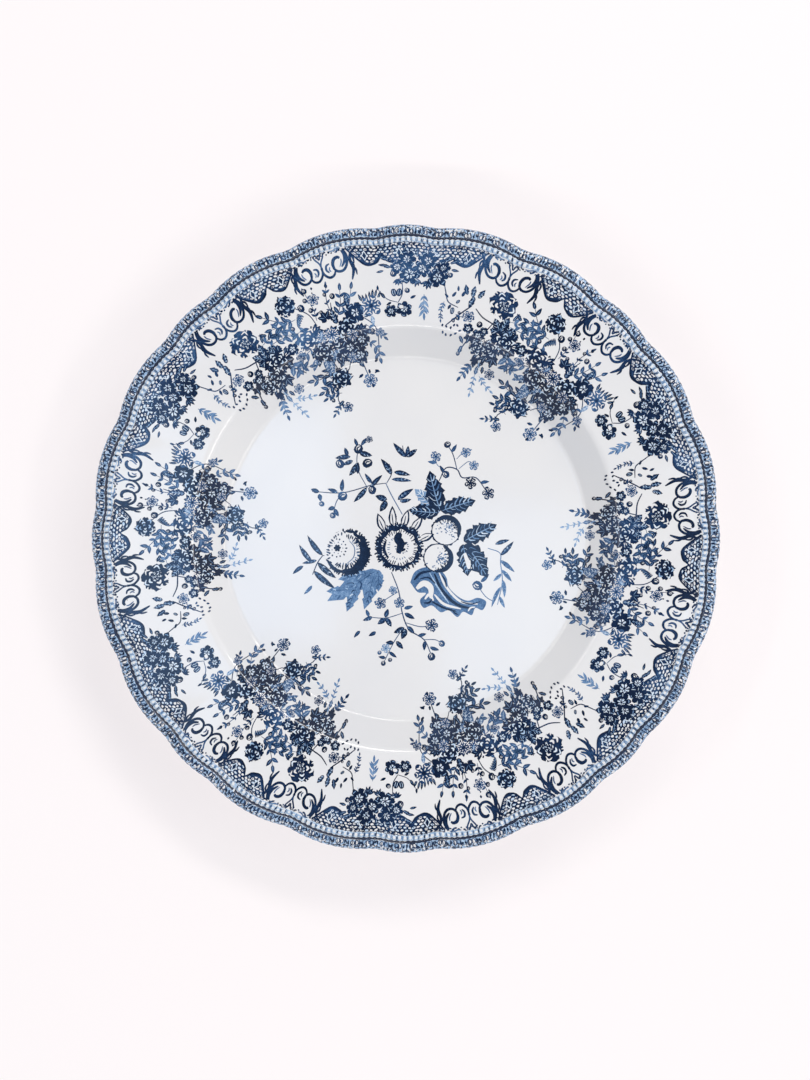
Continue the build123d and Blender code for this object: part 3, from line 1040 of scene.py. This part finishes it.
def bouquet_sprays():
    """The light sprays around the bouquet: their stems, small leaves, round buds and open blossoms."""
    motif = []
    for path, width, tone in (
        ([(-1.5, 10), (-6, 18), (-8.4, 23)], 0.4, 0.6),
        ([(-8.4, 23), (-15, 22), (-26.5, 19), (-39, 19.6)], 0.4, 0.8),
        ([(-8, 23), (-6, 27), (-7, 31)], 0.4, 0.8),
        ([(-16, 21), (-20, 29), (-19.7, 37), (-15.2, 41)], 0.36, 0.75),
        ([(-26.5, 19), (-29, 15), (-30, 11)], 0.36, 0.7),
        ([(0.2, 33.8), (-1, 36), (-1.4, 38.6)], 0.36, 0.8),
        ([(13.8, 24), (16.6, 29.3), (21.2, 28.7), (23.4, 25.3), (29, 25.3), (33, 20.4)], 0.5, 0.85),
        ([(21.2, 28.7), (19.5, 35), (17.2, 39)], 0.4, 0.8),
        ([(16, 28.6), (13, 30.6), (12.6, 33)], 0.3, 0.6), ([(22, 29), (26, 32), (28, 30.4)], 0.3, 0.6),
        ([(21, 33), (23, 35), (24.6, 35.5)], 0.3, 0.6),
        ([(-34.5, -7), (-36.7, -10), (-38.8, -15)], 0.45, 0.9), ([(-30, -8), (-34.5, -7)], 0.4, 0.9),
        ([(34, -4), (39, -6), (39.3, -10.4), (40, -18), (38, -27.5)], 0.4, 0.5),
        ([(29.7, -19.5), (33, -24), (36, -26)], 0.36, 0.6),
        ([(-6, -14), (-3, -22), (-1.5, -31), (1.3, -37.7), (7.5, -42), (10.4, -48)], 0.5, 0.75),
        ([(-3, -22), (-8, -25), (-10.6, -27)], 0.34, 0.6),
        ([(-1.5, -31), (-8.4, -33), (-15.7, -32.6)], 0.36, 0.7),
        ([(0, -35), (6, -36.6), (10.4, -36)], 0.36, 0.7), ([(-1, -37), (-5, -43), (-9, -51)], 0.36, 0.7),
        ([(7.5, -42), (12, -42), (14.9, -43.4)], 0.34, 0.7),
    ):
        motif += stroke(path, width, tone, tip=0.6)
    for foot, tip, width, tone in (
        ((-16.3, 21.3), (-20.8, 14.5), 2.2, 0.95), ((-14.6, 21.3), (-10.6, 27), 2.0, 0.95),
        ((-26.5, 19.6), (-27, 24.7), 1.9, 0.8), ((-28.4, 19), (-32.2, 21.3), 1.7, 0.75),
        ((-36, 19.4), (-39.6, 20.2), 1.9, 0.8), ((-36, 18.6), (-35.4, 15.4), 1.8, 0.7),
        ((-29.6, 13), (-32.4, 12), 1.8, 0.75), ((-29.6, 12.4), (-28.6, 9), 1.9, 0.75),
        ((-6, 26.4), (-8.9, 33.8), 2.5, 1.0), ((-5, 27.6), (1.9, 27), 2.1, 0.95),
        ((-6, 24.6), (2.4, 24.6), 1.8, 0.85), ((-3.4, 16), (2.2, 21.6), 2.3, 0.9),
        ((-2.6, 15.6), (2.2, 15.4), 1.8, 0.85), ((-7.8, 16.2), (-12.8, 17.4), 2.6, 1.0),
        ((-8, 15.6), (-10.6, 11.1), 2.8, 1.0), ((-19.4, 35.6), (-14, 34.4), 2.4, 1.0),
        ((-23, 34), (-29.4, 33.8), 2.1, 0.95), ((-24, 34.6), (-26, 37.4), 1.8, 0.9),
        ((-19.7, 31.6), (-22.6, 25.6), 2.6, 1.0), ((-20.4, 31), (-19.2, 27), 1.9, 0.95),
        ((-22, 32.4), (-26.4, 30.4), 1.8, 0.9), ((-20, 38.6), (-21.8, 41.4), 1.4, 0.8),
        ((-18.6, 38.6), (-16.4, 42), 1.4, 0.8), ((0.2, 33.8), (-5.8, 39.2), 2.3, 0.95),
        ((0.3, 34), (1.4, 38.4), 1.9, 0.9), ((0.4, 33.8), (4.4, 37.4), 2.2, 1.0),
        ((-14, 23), (-17.6, 26.6), 1.6, 0.8), ((-34.5, -7), (-42.4, -0.2), 2.3, 0.95),
        ((-39, -9.9), (-45.2, -3.4), 2.1, 0.9), ((-36.7, -9.9), (-29.9, -17.3), 2.7, 1.0),
        ((-42.6, -11.4), (-47.5, -13.9), 1.8, 0.8), ((-38.4, -13.3), (-30.5, -21.8), 2.5, 0.95),
        ((-39, -19.5), (-41.8, -23.6), 1.5, 0.6), ((-37, -9), (-43, -10.6), 1.6, 0.85),
        ((37, -2.4), (42.8, 0), 1.8, 0.9), ((39.3, -7), (45.2, -1.7), 2.0, 0.85),
        ((39, -9), (45.6, -13.3), 1.8, 0.6), ((39.8, -13), (44.2, -17.6), 1.7, 0.5),
        ((40, -17), (42.4, -24), 1.8, 0.5), ((39.4, -20), (34.2, -27.7), 1.6, 0.5),
        ((39, -24), (40.4, -29), 1.5, 0.45), ((39.6, -14.6), (36.6, -18), 1.5, 0.45),
        ((31, -18), (35, -15.4), 1.6, 0.7), ((12.6, 32), (10.4, 36), 1.5, 0.6),
        ((12.8, 31.6), (9, 31.4), 1.4, 0.6), ((18.8, 36), (21.6, 38.6), 1.5, 0.7),
        ((24, 34.6), (27.4, 37.2), 1.4, 0.6), ((16, 27), (14, 30.4), 1.4, 0.8),
        ((31, 23), (34.4, 24.4), 1.5, 0.7), ((-8.4, -33.1), (-11.8, -35.6), 2.2, 0.85),
        ((-8.2, -33), (-6, -36.6), 2.2, 0.85), ((-8.6, -32.8), (-7.4, -29.2), 2.0, 0.8),
        ((-14, -32.4), (-17.6, -34.6), 1.8, 0.75), ((-15.4, -32.4), (-16.4, -29.4), 1.5, 0.7),
        ((-0.6, -31), (3.6, -33.4), 1.9, 0.8), ((-0.8, -29), (3, -28.4), 1.6, 0.7),
        ((-0.6, -37), (-4.8, -39.6), 2.4, 0.95), ((-0.2, -37.4), (-1, -42), 2.5, 0.95),
        ((0.4, -36.6), (4, -39), 2.0, 0.9), ((-19, -38.4), (-22, -40.6), 1.5, 0.8),
        ((-12.6, -38.6), (-15, -41), 1.7, 0.8), ((-4, -42.6), (-1.4, -46), 2.0, 0.95),
        ((-5, -43.4), (-8.4, -43), 1.8, 0.9), ((-7, -47), (-4, -49.6), 1.5, 0.8),
        ((8, -42.6), (7, -46.4), 1.7, 0.8), ((10, -45), (13.4, -47), 1.6, 0.75),
        ((-8.4, -49.4), (-11.4, -49.6), 1.4, 0.8), ((5, -40.6), (8.4, -39.2), 1.5, 0.75),
    ):
        motif += leaf_between(foot, tip, width, tone, bend=draw.uniform(-0.22, 0.22), vein=0.6)
    for x, y, size, tone in (
        (-14, 20.2, 3.4, 0.85), (-26.3, 17.6, 3.8, 0.7), (-19.7, 37.2, 3.8, 0.95), (-27.4, 31, 3.6, 0.8),
        (-16, 31.3, 3.8, 1.0), (-30.4, 9.6, 2.4, 0.75), (-35, 14.4, 2.2, 0.7), (17.2, 39, 2.8, 0.9),
        (16.6, 26.6, 3.0, 0.8), (29.7, -19.5, 4.0, 0.7), (14.9, -43.6, 2.6, 0.7), (-9.4, -51.8, 2.0, 0.8),
        (-6.6, -50.4, 1.7, 0.8), (-11, -47.4, 1.7, 0.7), (10.6, -49, 3.2, 0.85),
    ):
        motif += placed(round_bud(size, size * 1.1, tone), (x, y), draw.uniform(-90, 90))
    for x, y, radius, tone in (
        (26.8, 23, 2.5, 1.0), (34.2, 18.8, 2.7, 0.85), (12.4, 34, 2.2, 0.6), (24.8, 35.8, 2.2, 0.55),
        (28.2, 30.4, 2.1, 0.55), (-10.6, -26.9, 2.5, 0.65), (-2.7, -26.6, 2.3, 0.6), (10.6, -36, 2.8, 0.75),
        (-15.2, 41.2, 1.5, 0.8), (-8.4, -45.6, 2.0, 0.4), (-5.4, -21.4, 1.8, 0.5),
    ):
        motif += placed(light_flower(radius, 5, tone), (x, y), draw.uniform(0, 72))
    return motif


def bouquet_leaves():
    """The large leaves: a pale lobed one low on the left, a pale and a narrow one at the top, and dark
    toothed ones round the fruits, with a fold of light in the last."""
    motif = []
    for foot, tip, width in (
        ((-12, -13), (-32, -27), 7.5), ((-15, -14), (-28, -17.6), 4.6), ((-13, -14), (-16.6, -29.6), 5.5),
        ((-20, -18), (-24, -30.6), 4.6), ((-23, -21), (-33, -22.4), 3.6), ((-11.6, -13), (-11, -22), 4.2),
    ):
        motif += leaf_between(foot, tip, width, 0.48, teeth=4, bend=0.05, vein=0.62)
    motif += leaf_between((14, 11), (3.6, 20.6), 6.4, 0.4, teeth=6, vein=0.05)
    motif += leaf_between((13, 12.4), (6.6, 18), 1.0, 0.95)
    for foot, tip, width in (
        ((14.3, 11.4), (8.7, 27.8), 8.0), ((14.6, 11.4), (28.6, 16.8), 7.2),
        ((13.6, 10.8), (1.0, 11.0), 6.6), ((24, -1.2), (37.2, 6.8), 7.6),
        ((24.6, -2.2), (34.8, -15.4), 8.8), ((23.6, -2.4), (26.6, -15.4), 7.2),
    ):
        motif += leaf_between(foot, tip, width, 1.0, teeth=5, bend=0.07, vein=0.4)
    motif += stroke([(24.4, -6), (25.6, -9), (26.2, -12.6)], 2.2, 0.0, tip=0.2)
    motif += stroke([(25, -5.6), (26.6, -9)], 0.5, 0.9)
    return motif


def trumpet_leaf():
    """A broad leaf curled into a trumpet, in a middle tone with light and dark folds along it."""
    outline = [
        (3, -16), (5, -11.5), (10, -9.6), (15, -10.6), (18, -14), (19, -18), (23, -22), (27, -23.6),
        (31, -22.4), (34.5, -24), (33, -27.5), (30, -26.6), (28.5, -29.6), (25, -28.2), (22.5, -30.4),
        (19, -27.6), (15.6, -28.4), (12, -25.6), (8.6, -26.6), (7, -23.4), (9.5, -20.5), (6, -20), (3, -16),
    ]
    motif = [(0.55, smooth(outline, 5)[:-1])]
    for path, width, dark in (
        ([(5.6, -18.6), (8.6, -16.4), (11.4, -18.2), (11.6, -22.6)], 2.6, 0.0),
        ([(9, -23), (11, -21), (12.6, -23.6)], 1.2, 0.0),
        ([(15, -12), (18, -18), (24, -24), (31, -25)], 1.0, 0.0),
        ([(13, -12.4), (16, -19), (22, -25), (29, -27)], 1.3, 1.0),
        ([(11, -12), (14.4, -18), (19, -24.6)], 0.6, 0.2), ([(13, -21), (17, -25), (24, -27)], 1.1, 0.0),
        ([(12, -24), (17, -26.6), (22, -28)], 0.9, 1.0),
        ([(4.6, -15), (7.4, -12.2), (12, -11.2)], 1.1, 0.95),
        ([(24, -24), (28, -25), (32, -24)], 0.6, 0.95),
        ([(7, -14.6), (10.4, -14), (13.4, -16.4)], 0.7, 0.95),
        ([(8.6, -24.6), (10.8, -24.4), (12, -23)], 0.8, 0.95),
        ([(27, -28), (28, -26.6), (30, -26.2)], 0.7, 0.0),
        ([(20, -27), (21.6, -28.8), (23, -29.4)], 0.6, 0.95),
        ([(16, -13), (17.4, -15), (18, -18)], 0.7, 0.95),
    ):
        motif += stroke(path, width, dark)
    return placed(motif, (-1.2, -2.2))


def fruit(x, y, radius, shade_turn):
    """A round fruit: a light ball with a dark outline, heavier on its shaded side, where the stipple
    gathers."""
    motif = scallop(radius, 11, 0.95, depth=0.04) + oval(1.8 * radius, 1.8 * radius, 0.0, points=28)
    motif += stroke([polar(radius * 0.9, a) for a in (-84, -42, 0, 42, 84)], radius * 0.34, 1.0, tip=0.1)
    for k in range(90):
        away = draw.uniform(0, 1) ** 0.6 * 0.86
        turn = draw.normal(0, 52)
        dark = 0.95 if away > 0.6 and abs(turn) < 70 else 0.6
        dot = draw.uniform(0.25, 0.6)
        motif += placed(oval(dot * 1.6, dot, dark, rough=0.2, points=5), polar(radius * away, turn), turn)
    for k in range(7):
        turn = -66 + 22 * k + draw.uniform(-5, 5)
        line = [polar(radius * 0.84, turn), polar(radius * draw.uniform(0.45, 0.66), turn)]
        motif += stroke(line, 0.5, 1.0, tip=0.2)
    return placed(motif, (x, y), shade_turn)


def ticks(radius, count, inward, outward, width, tone, first=0, last=360):
    """Short cuts across a circle, of uneven length and slant."""
    motif = []
    for turn in np.linspace(first, last, count, endpoint=last - first < 360):
        slant = draw.uniform(-4, 4)
        turn += draw.uniform(-3, 3)
        foot = polar(radius - inward * draw.uniform(0.4, 1.2), turn + slant)
        motif += stroke(
            [foot, polar(radius + outward * draw.uniform(0.4, 1.2), turn)], width, tone, tip=0.3,
        )
    return motif


def cup_flower():
    """The left flower, seen from the side as a cup: a white bowl inside a thick dark crescent with a torn
    edge, and a small eye ringed by dots near the open side."""
    motif = ticks(9.2, 34, 1.0, 0.8, 0.7, 1.0, -140, 100) + scallop(9.4, 9, 1.0, depth=0.08, rough=0.04)
    motif += placed(scallop(8.1, 11, 0.0, depth=0.06), (-2.0, 0.9))
    motif += ticks(8.6, 16, 1.2, 0.3, 0.6, 0.85, 100, 220)
    crescent = ticks(
        6.8, 30, 1.8, 0.6, 0.55, 0.95, -130, 84,
    ) + ticks(5.6, 16, 0.9, 0.3, 0.35, 0.6, -110, 70)
    motif += placed(crescent, (-1.0, 0.4))
    motif += stroke([(3.2, 6.4), (5.6, 2.4), (5.2, -2.4), (2.0, -6.4)], 1.3, 1.0, tip=0.1)
    motif += stroke([(0.6, 5.0), (2.8, 2.0), (2.4, -2.0), (-0.6, -4.8)], 0.4, 0.6, tip=0.3)
    motif += placed(
        ticks(3.6, 15, 0.3, 0.6, 0.6, 0.9) + scallop(1.5, 6, 1.0, depth=0.3, rough=0.1), (-4.3, 1.9),
    )
    motif += placed(ticks(2.3, 9, 0.2, 0.3, 0.4, 0.8), (-4.3, 1.9))
    motif += stroke([(-8.6, -3.0), (-5.6, -6.8), (-1.6, -8.2)], 1.5, 0.95, tip=0.1)
    return placed(motif, (-24.2, -5.8))


def sun_flower():
    """The middle flower, face on: a torn dark ring with pale pointed petals above it, round a white cup
    that is hatched inside its rim, and a ragged dark eye."""
    motif = []
    for x, y, turn, length in (
        (-5.6, 6.4, 26, 7.4), (-2.0, 7.6, 8, 8.6), (1.8, 7.4, -10, 7.6), (5.2, 6.0, -30, 7.4),
        (8.0, 2.6, -62, 6.4),
    ):
        petal = placed(leaf(length, 3.2, 0.95, bend=0.08)[:1], (x, y), turn)
        petal += placed(leaf(length * 0.84, 2.1, 0.0, bend=0.08)[:1], (x, y + 0.3), turn)
        petal += placed(stroke([(0, 0.5), (0.1, length * 0.66)], 0.4, 0.9), (x, y), turn)
        motif += petal
    motif += ticks(9.0, 46, 1.0, 0.9, 0.7, 1.0) + scallop(9.1, 9, 1.0, depth=0.07, rough=0.05)
    motif += ticks(8.3, 22, 0.2, 0.7, 0.3, 0.2)
    motif += placed(scallop(7.1, 9, 0.0, depth=0.08), (0.2, -0.2))
    motif += placed(ticks(6.8, 44, 1.3, 0.5, 0.4, 0.95), (0.2, -0.2))
    motif += placed(ticks(4.6, 14, 0.8, 0.2, 0.3, 0.6, 120, 300), (0.2, -0.3))
    motif += stroke([(-5.0, 2.6), (-5.8, -0.8), (-4.2, -4.2)], 1.2, 1.0, tip=0.1)
    motif += stroke([(0.6, 5.6), (-0.4, 3.4), (0.8, 1.2), (-0.2, -2.4)], 3.2, 1.0, tip=0.3)
    motif += stroke([(0.0, 1.6), (1.6, 1.2), (3.2, 1.8)], 1.2, 1.0, tip=0.3)
    motif += stroke([(0.0, -0.8), (1.4, -1.2), (2.6, -0.6)], 1.0, 1.0, tip=0.3)
    motif += placed(ticks(2.4, 12, 0.3, 0.5, 0.4, 0.75, 180, 400), (1.2, 0.2))
    return placed(motif, (-3.0, -3.6), size=1.06)


def centre_bouquet():
    """The bouquet in the well: two open flowers, two fruits and large leaves, with light sprays around
    them."""
    motif = bouquet_sprays() + bouquet_leaves() + trumpet_leaf()
    return motif + fruit(16.6, 3.2, 6.3, 58) + fruit(13.2, -8.0, 6.2, -20) + cup_flower() + sun_flower()


# ---------------------------------------------------------------- the print along the moulding
def edge_band(first, last):
    """The printed band on the moulding between two angles in radians, X in millimetres along the edge and Y
    the distance along the section: dots and short strokes between the ridge's pearls, a dark twisted line,
    and on the bead a pale ground with ringed ovals and dark flecks."""
    length = MEAN_EDGE * (last - first)
    names = ("dots", "ridge_in", "ridge_out", "twist", "ground_in", "ovals", "flecks", "outside")
    rows = dict(zip(names, along_section([8.0, 7.1, 5.1, 4.45, 4.0, 2.75, 1.2, 0.25])))
    motif = []
    pitch = TURN * MEAN_EDGE / GADROONS
    x = np.arange(0, length, pitch / 6)
    inner_edge = np.stack([x, rows["ground_in"] + draw.uniform(-0.3, 0.3, len(x))], 1)
    outer_edge = np.stack([x, rows["outside"] + 0.4 + draw.uniform(-0.5, 0.5, len(x))], 1)
    motif += [(0.26, np.concatenate([inner_edge, outer_edge[::-1]]))]
    for k in range(int(round(length / pitch))):
        x = (k + 0.5) * pitch + draw.uniform(-0.2, 0.2)
        paired = pitch * 0.24 if k % 2 else -pitch * 0.24
        ring_at = (x + paired, rows["ovals"] + draw.uniform(-0.25, 0.25))
        motif += placed(oval(2.0, 2.4, draw.uniform(0.7, 1.0), rough=0.14), ring_at, draw.uniform(-25, 25))
        motif += placed(
            oval(1.2, 1.6, draw.choice([0.0, 0.0, 0.3]), rough=0.2), ring_at, draw.uniform(-25, 25),
        )
        for at in (-0.34, 0.16):
            foot = (x + at * pitch, rows["twist"] + draw.uniform(0.3, 1.4))
            head = (x + at * pitch + draw.uniform(-0.5, 0.5), rows["outside"] + draw.uniform(-0.8, 0.8))
            motif += stroke([foot, head], draw.uniform(0.3, 0.6), draw.uniform(0.8, 1.0), tip=0.4)
        for at in (-0.42, -0.2, 0.04, 0.26, 0.46):
            fleck = (x + at * pitch, rows["flecks"] + draw.uniform(-1.0, 1.0))
            dark = draw.choice([0.0, 0.95, 1.0, 1.0])
            mark = oval(draw.uniform(0.7, 1.6), draw.uniform(0.5, 1.0), dark, rough=0.35, points=7)
            motif += placed(mark, fleck, draw.uniform(0, 180))
        fleck = (x - paired * 1.3, rows["ovals"] + draw.uniform(-0.5, 0.5))
        motif += placed(oval(0.9, 1.6, 1.0, rough=0.35, points=7), fleck, draw.uniform(-60, 60))
        motif += oval(0.9, 0.6, 0.0, at=(x + draw.uniform(-1.2, 1.2), rows["flecks"]), rough=0.3, points=6)
        motif += oval(draw.uniform(0.8, 2.0), 0.8, 0.9, at=(x, rows["outside"]), rough=0.3, points=7)
    pitch = TURN * MEAN_EDGE / PEARLS
    x = np.arange(0, length, pitch / 3)
    inner_edge = np.stack([x, rows["ridge_in"] + draw.uniform(-0.2, 0.2, len(x))], 1)
    outer_edge = np.stack([x, rows["ridge_out"] + draw.uniform(-0.2, 0.2, len(x))], 1)
    motif += [(0.2, np.concatenate([inner_edge, outer_edge[::-1]]))]
    for k in range(int(round(length / pitch))):
        x = (k + 0.5) * pitch
        lean = draw.uniform(-0.2, 0.2)
        pearl_at = (x, along_section(RIDGE_INSET) + lean)
        motif += oval(draw.uniform(0.9, 1.6), draw.uniform(0.9, 1.7), 0.0, at=pearl_at, rough=0.2, points=8)
        motif += oval(1.2, 0.9, 1.0, at=(x, rows["dots"] + lean), rough=0.3, points=6)
        motif += oval(0.9, 0.8, 0.85, at=(x + pitch / 2, rows["dots"] - 0.6 + lean), rough=0.3, points=5)
        for away in (-0.62, -0.5, -0.38):
            foot = (x + away * pitch + lean, rows["ridge_in"] - draw.uniform(-0.6, 0.2))
            head = (x + away * pitch + draw.uniform(-0.2, 0.2), rows["ridge_out"] + draw.uniform(-0.6, 0.2))
            motif += stroke([foot, head], draw.uniform(0.12, 0.4), draw.choice([0.5, 0.8, 1.0]), tip=0.5)
        for way in (-0.5, 0.5):
            twist = [
                (x - 1.3, rows["twist"] - way), (x, rows["twist"] + 0.1), (x + 1.3, rows["twist"] + way),
            ]
            motif += stroke(twist, draw.uniform(0.7, 1.05), 1.0, tip=0.7)
    heights = np.arange(rows["dots"], rows["outside"] + 1.5, 0.45)
    across = np.arange(0, length, 1.2)
    guides = [np.stack([across, 0 * across + height], 1) for height in heights]
    return motif, guides


# ---------------------------------------------------------------- laying the ink on the glaze
def ink_film(name, node, points, normals, faces, tone, plan, material):
    """A film of ink as one sheet of triangles with a tone for each, the surface's own normals, and its plan
    as UV."""
    film = new_piece(name, points, faces.tolist(), material, "underglaze_ink", node)
    mesh = film.data
    density = mesh.attributes.new("tone", "FLOAT", "CORNER")
    density.data.foreach_set("value", np.repeat(tone, 3).astype(np.float32))
    unwrap = mesh.uv_layers.new(name="OFBake")
    corner_plan = (plan - plan.min(0)) / (plan.max(0) - plan.min(0)).max()
    unwrap.uv.foreach_set("vector", corner_plan[faces.ravel()].astype(np.float32).ravel())
    mesh.normals_split_custom_set_from_vertices(normals.tolist())
    return film


def on_surface(radius, angle):
    """Points just over the glaze and the glaze's normals there, across the face and up to the ridge."""
    inset = MEAN_EDGE - radius
    on_face = (inset > MOULDING_INSET)[:, None]
    along = along_section(inset)
    points = np.where(on_face, face_point(radius, angle), edge_point(angle, along))
    normals = np.where(on_face, face_normal(radius, angle), edge_normal(angle, along))
    return points + normals * INK_LIFT, normals


def joined(sheets):
    """Several sheets (points, normals, faces, tone, plan) as one."""
    starts = np.cumsum([0] + [len(sheet[0]) for sheet in sheets])
    faces = np.concatenate([sheet[2] + start for sheet, start in zip(sheets, starts)])
    points, normals, _, tone, plan = (np.concatenate(parts) for parts in zip(*sheets))
    return points, normals, faces, tone, plan


china = glazed_porcelain()
ink = cobalt_print()
biscuit = bare_biscuit()

# The glazed china. The clay itself shows only on the wiped foot ring.
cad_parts["china_body"].data.materials.clear()
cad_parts["china_body"].data.materials.append(biscuit)

# The face takes all the rows of its line in and beside the fillets, and every third along the straight
# runs.
inner_face = face_line[face_line[:, 0] < MEAN_EDGE - MOULDING_INSET + 0.3][1:]
inner_face[-1, 1] -= 0.03  # tucked under the moulded piece
curved = np.abs(np.gradient(face_slope)[1 : len(inner_face) + 1]) > 1e-6
curved[[0, -1]] = True
inner_face = inner_face[curved | (np.arange(len(inner_face)) % 3 == 0)]
turned_piece("glazed_face", inner_face, FACE_COLUMNS, china, "glaze", "glaze_coat", capped="start")

around = np.arange(EDGE_COLUMNS) * TURN / EDGE_COLUMNS
moulding = edge_point(around, section_at[:, None])
edge_faces = ring_faces(len(section), EDGE_COLUMNS)
new_piece("glazed_moulding", moulding.reshape(-1, 3), edge_faces, china, "glaze")

back_line = rounded(offset_corners(BACK, GLAZE), longest=2.0)
back_line = back_line[back_line[:, 0] < MEAN_EDGE - MOULDING_INSET + 1.2]
back_line = back_line[back_line[:, 1] > BARE_FOOT]
back_line[0, 1] += 0.06  # tucked into the moulded piece
back_end = back_line[-1, 0]
lower_edge = np.array([[back_end - 0.28, BARE_FOOT], [back_end - 0.6, BARE_FOOT]])  # in to the clay
back_line = np.concatenate([back_line, lower_edge])
turned_piece("glazed_back", back_line, FACE_COLUMNS, china, "glaze", capped="")

recess_line = rounded(offset_corners(RECESS, GLAZE), longest=4.0)
recess_line = recess_line[recess_line[:, 1] > BARE_FOOT][:-1]
recess_line = np.concatenate([[[recess_line[0, 0] + 0.35, BARE_FOOT]], recess_line])
turned_piece("glazed_recess", recess_line, RECESS_COLUMNS, china, "glaze", "recess_glaze", capped="end")

# The border: one repeat is engraved and cut once, then laid six times, stretched to meet its neighbours.
shoulder_guides = rings([75.2, 76.2, 84.6, 85.6, 86.6, 87.6, 88.6, 89.6, 90.6], -29, 37)
flat, cells, tones = flattened(border_repeat(), shoulder_guides)
flat_radius = np.hypot(*flat.T)
flat_angle = np.degrees(np.arctan2(flat[:, 1], flat[:, 0]))
for number, (laid, strength) in enumerate(zip(BORDER_ANGLES, BORDER_INK)):
    gap_after = (BORDER_ANGLES[number - 1] - laid) % 360
    gap_before = (laid - BORDER_ANGLES[(number + 1) % len(BORDER_ANGLES)]) % 360
    angle = np.radians(laid + flat_angle * np.where(flat_angle > 0, gap_after, gap_before) / REPEAT)
    points, normals = on_surface(flat_radius, angle)
    x, y = points[cells[:, 0], :2].T
    patchy = np.sin(x / 9 + 2 * np.sin(y / 13)) * np.cos(y / 8 + 2 * np.cos(x / 11))  # uneven pressing
    repeat = (points, normals, cells, tones * (strength + 0.17 * patchy), points[:, :2])
    first = np.radians(laid + BAND_STARTS * gap_before / REPEAT)
    last = np.radians(laid + BAND_ENDS * gap_after / REPEAT)
    band, guides = edge_band(first, last)
    band_flat, band_cells, band_tones = flattened(band, guides)
    band_angle = first + band_flat[:, 0] / MEAN_EDGE
    band_points = edge_point(band_angle, band_flat[:, 1], INK_LIFT)
    band_normals = edge_normal(band_angle, band_flat[:, 1])
    band_sheet = (band_points, band_normals, band_cells[:, ::-1], band_tones, band_points[:, :2])
    sheets = joined([repeat, band_sheet])
    ink_film(f"border_transfer_{number + 1}", f"border_print_{number + 1}", *sheets, ink)

# The bouquet in the well.
flat, cells, tones = flattened(centre_bouquet())
points, normals = on_surface(np.hypot(*flat.T), np.arctan2(flat[:, 1], flat[:, 0]))
ink_film("centre_transfer", "centre_print", points, normals, cells, tones, flat, ink)


# ---------------------------------------------------------------- floor, lights and camera
WINDOW = "#abd3ff"
LAMP = "#fff9f1"
RIM_LEVEL = 24.5
FRAME_WIDTH = 333.0  # how much of the rim's level the picture spans

# A pale sheet, lit a little from below so that the plate's shadow on it stays faint.
floor_mesh = bpy.data.meshes.new("floor")
floor_mesh.from_pydata([(-3, -3, 0), (3, -3, 0), (3, 3, 0), (-3, 3, 0)], [], [(0, 1, 2, 3)])
floor = bpy.data.objects.new("floor", floor_mesh)
bpy.context.scene.collection.objects.link(floor)
acrylic, _, acrylic_shader = new_material("backlit_acrylic", 0.9, 1.45)
acrylic_shader.inputs["Base Color"].default_value = linear("#b3b0b1")
acrylic_shader.inputs["Emission Color"].default_value = linear("#fff9fa")
acrylic_shader.inputs["Emission Strength"].default_value = 0.51
floor_mesh.materials.append(acrylic)


def soft_box(name, place, aim, wide, high, watts, colour):
    """A rectangular studio light that faces a point."""
    light = bpy.data.lights.new(name, "AREA")
    light.shape = "RECTANGLE"
    light.size = wide
    light.size_y = high
    light.energy = watts
    light.color = linear(colour)[:3]
    lamp = bpy.data.objects.new(name, light)
    lamp.location = place
    lamp.rotation_euler = (Vector(aim) - Vector(place)).to_track_quat("-Z", "Y").to_euler()
    bpy.context.scene.collection.objects.link(lamp)


soft_box("window_left", (-0.205, 0.015, 2.3), (-0.205, 0.015, 0), 0.28, 0.24, 0.57, WINDOW)
soft_box("window_right", (0.11, -0.075, 2.3), (0.11, -0.075, 0), 0.15, 0.22, 0.2, WINDOW)
soft_box("window_far_right", (0.43, 0.05, 2.3), (0.43, 0.05, 0), 0.3, 0.5, 0.9, WINDOW)
soft_box("strip_low", (-0.1, -1.4, 1.35), (0, 0, 0), 2.4, 0.13, 10, LAMP)
soft_box("strip_left", (-1.4, 0.35, 1.3), (0, 0, 0), 1.4, 0.12, 4, LAMP)
soft_box("strip_upper", (0.7, 1.3, 1.3), (0, 0, 0), 1.6, 0.3, 15, LAMP)
soft_box("strip_right", (1.4, -0.25, 1.3), (0, 0, 0), 1.3, 0.22, 7, LAMP)

# A white tent with the dim opening overhead that the camera looks through.
world = bpy.data.worlds.new("white_tent")
bpy.context.scene.world = world
world.use_nodes = True
tent = world.node_tree
upward = add_node(tent, "ShaderNodeTexCoord").outputs["Generated"]
height = add_node(tent, "ShaderNodeSeparateXYZ", {"Vector": upward}).outputs["Z"]
tent_stops = [(0.0, "#aeb2bb"), (0.35, "#f8f7f7"), (0.8, "#d9dfe9"), (0.92, "#585c66"), (1.0, "#42464f")]
wall_to_roof = colour_ramp(tent, height, tent_stops)
tent.links.new(wall_to_roof, tent.nodes["Background"].inputs["Color"])
tent.nodes["Background"].inputs["Strength"].default_value = 0.85

lens = bpy.data.cameras.new("camera")
lens.lens = 180
lens.sensor_width = 36
lens.sensor_fit = "HORIZONTAL"
camera = bpy.data.objects.new("camera", lens)
camera.location = (-0.4 * MM, -0.6 * MM, (RIM_LEVEL + FRAME_WIDTH * lens.lens / lens.sensor_width) * MM)
bpy.context.scene.collection.objects.link(camera)
bpy.context.scene.camera = camera
bpy.context.scene.view_settings.view_transform = "Standard"
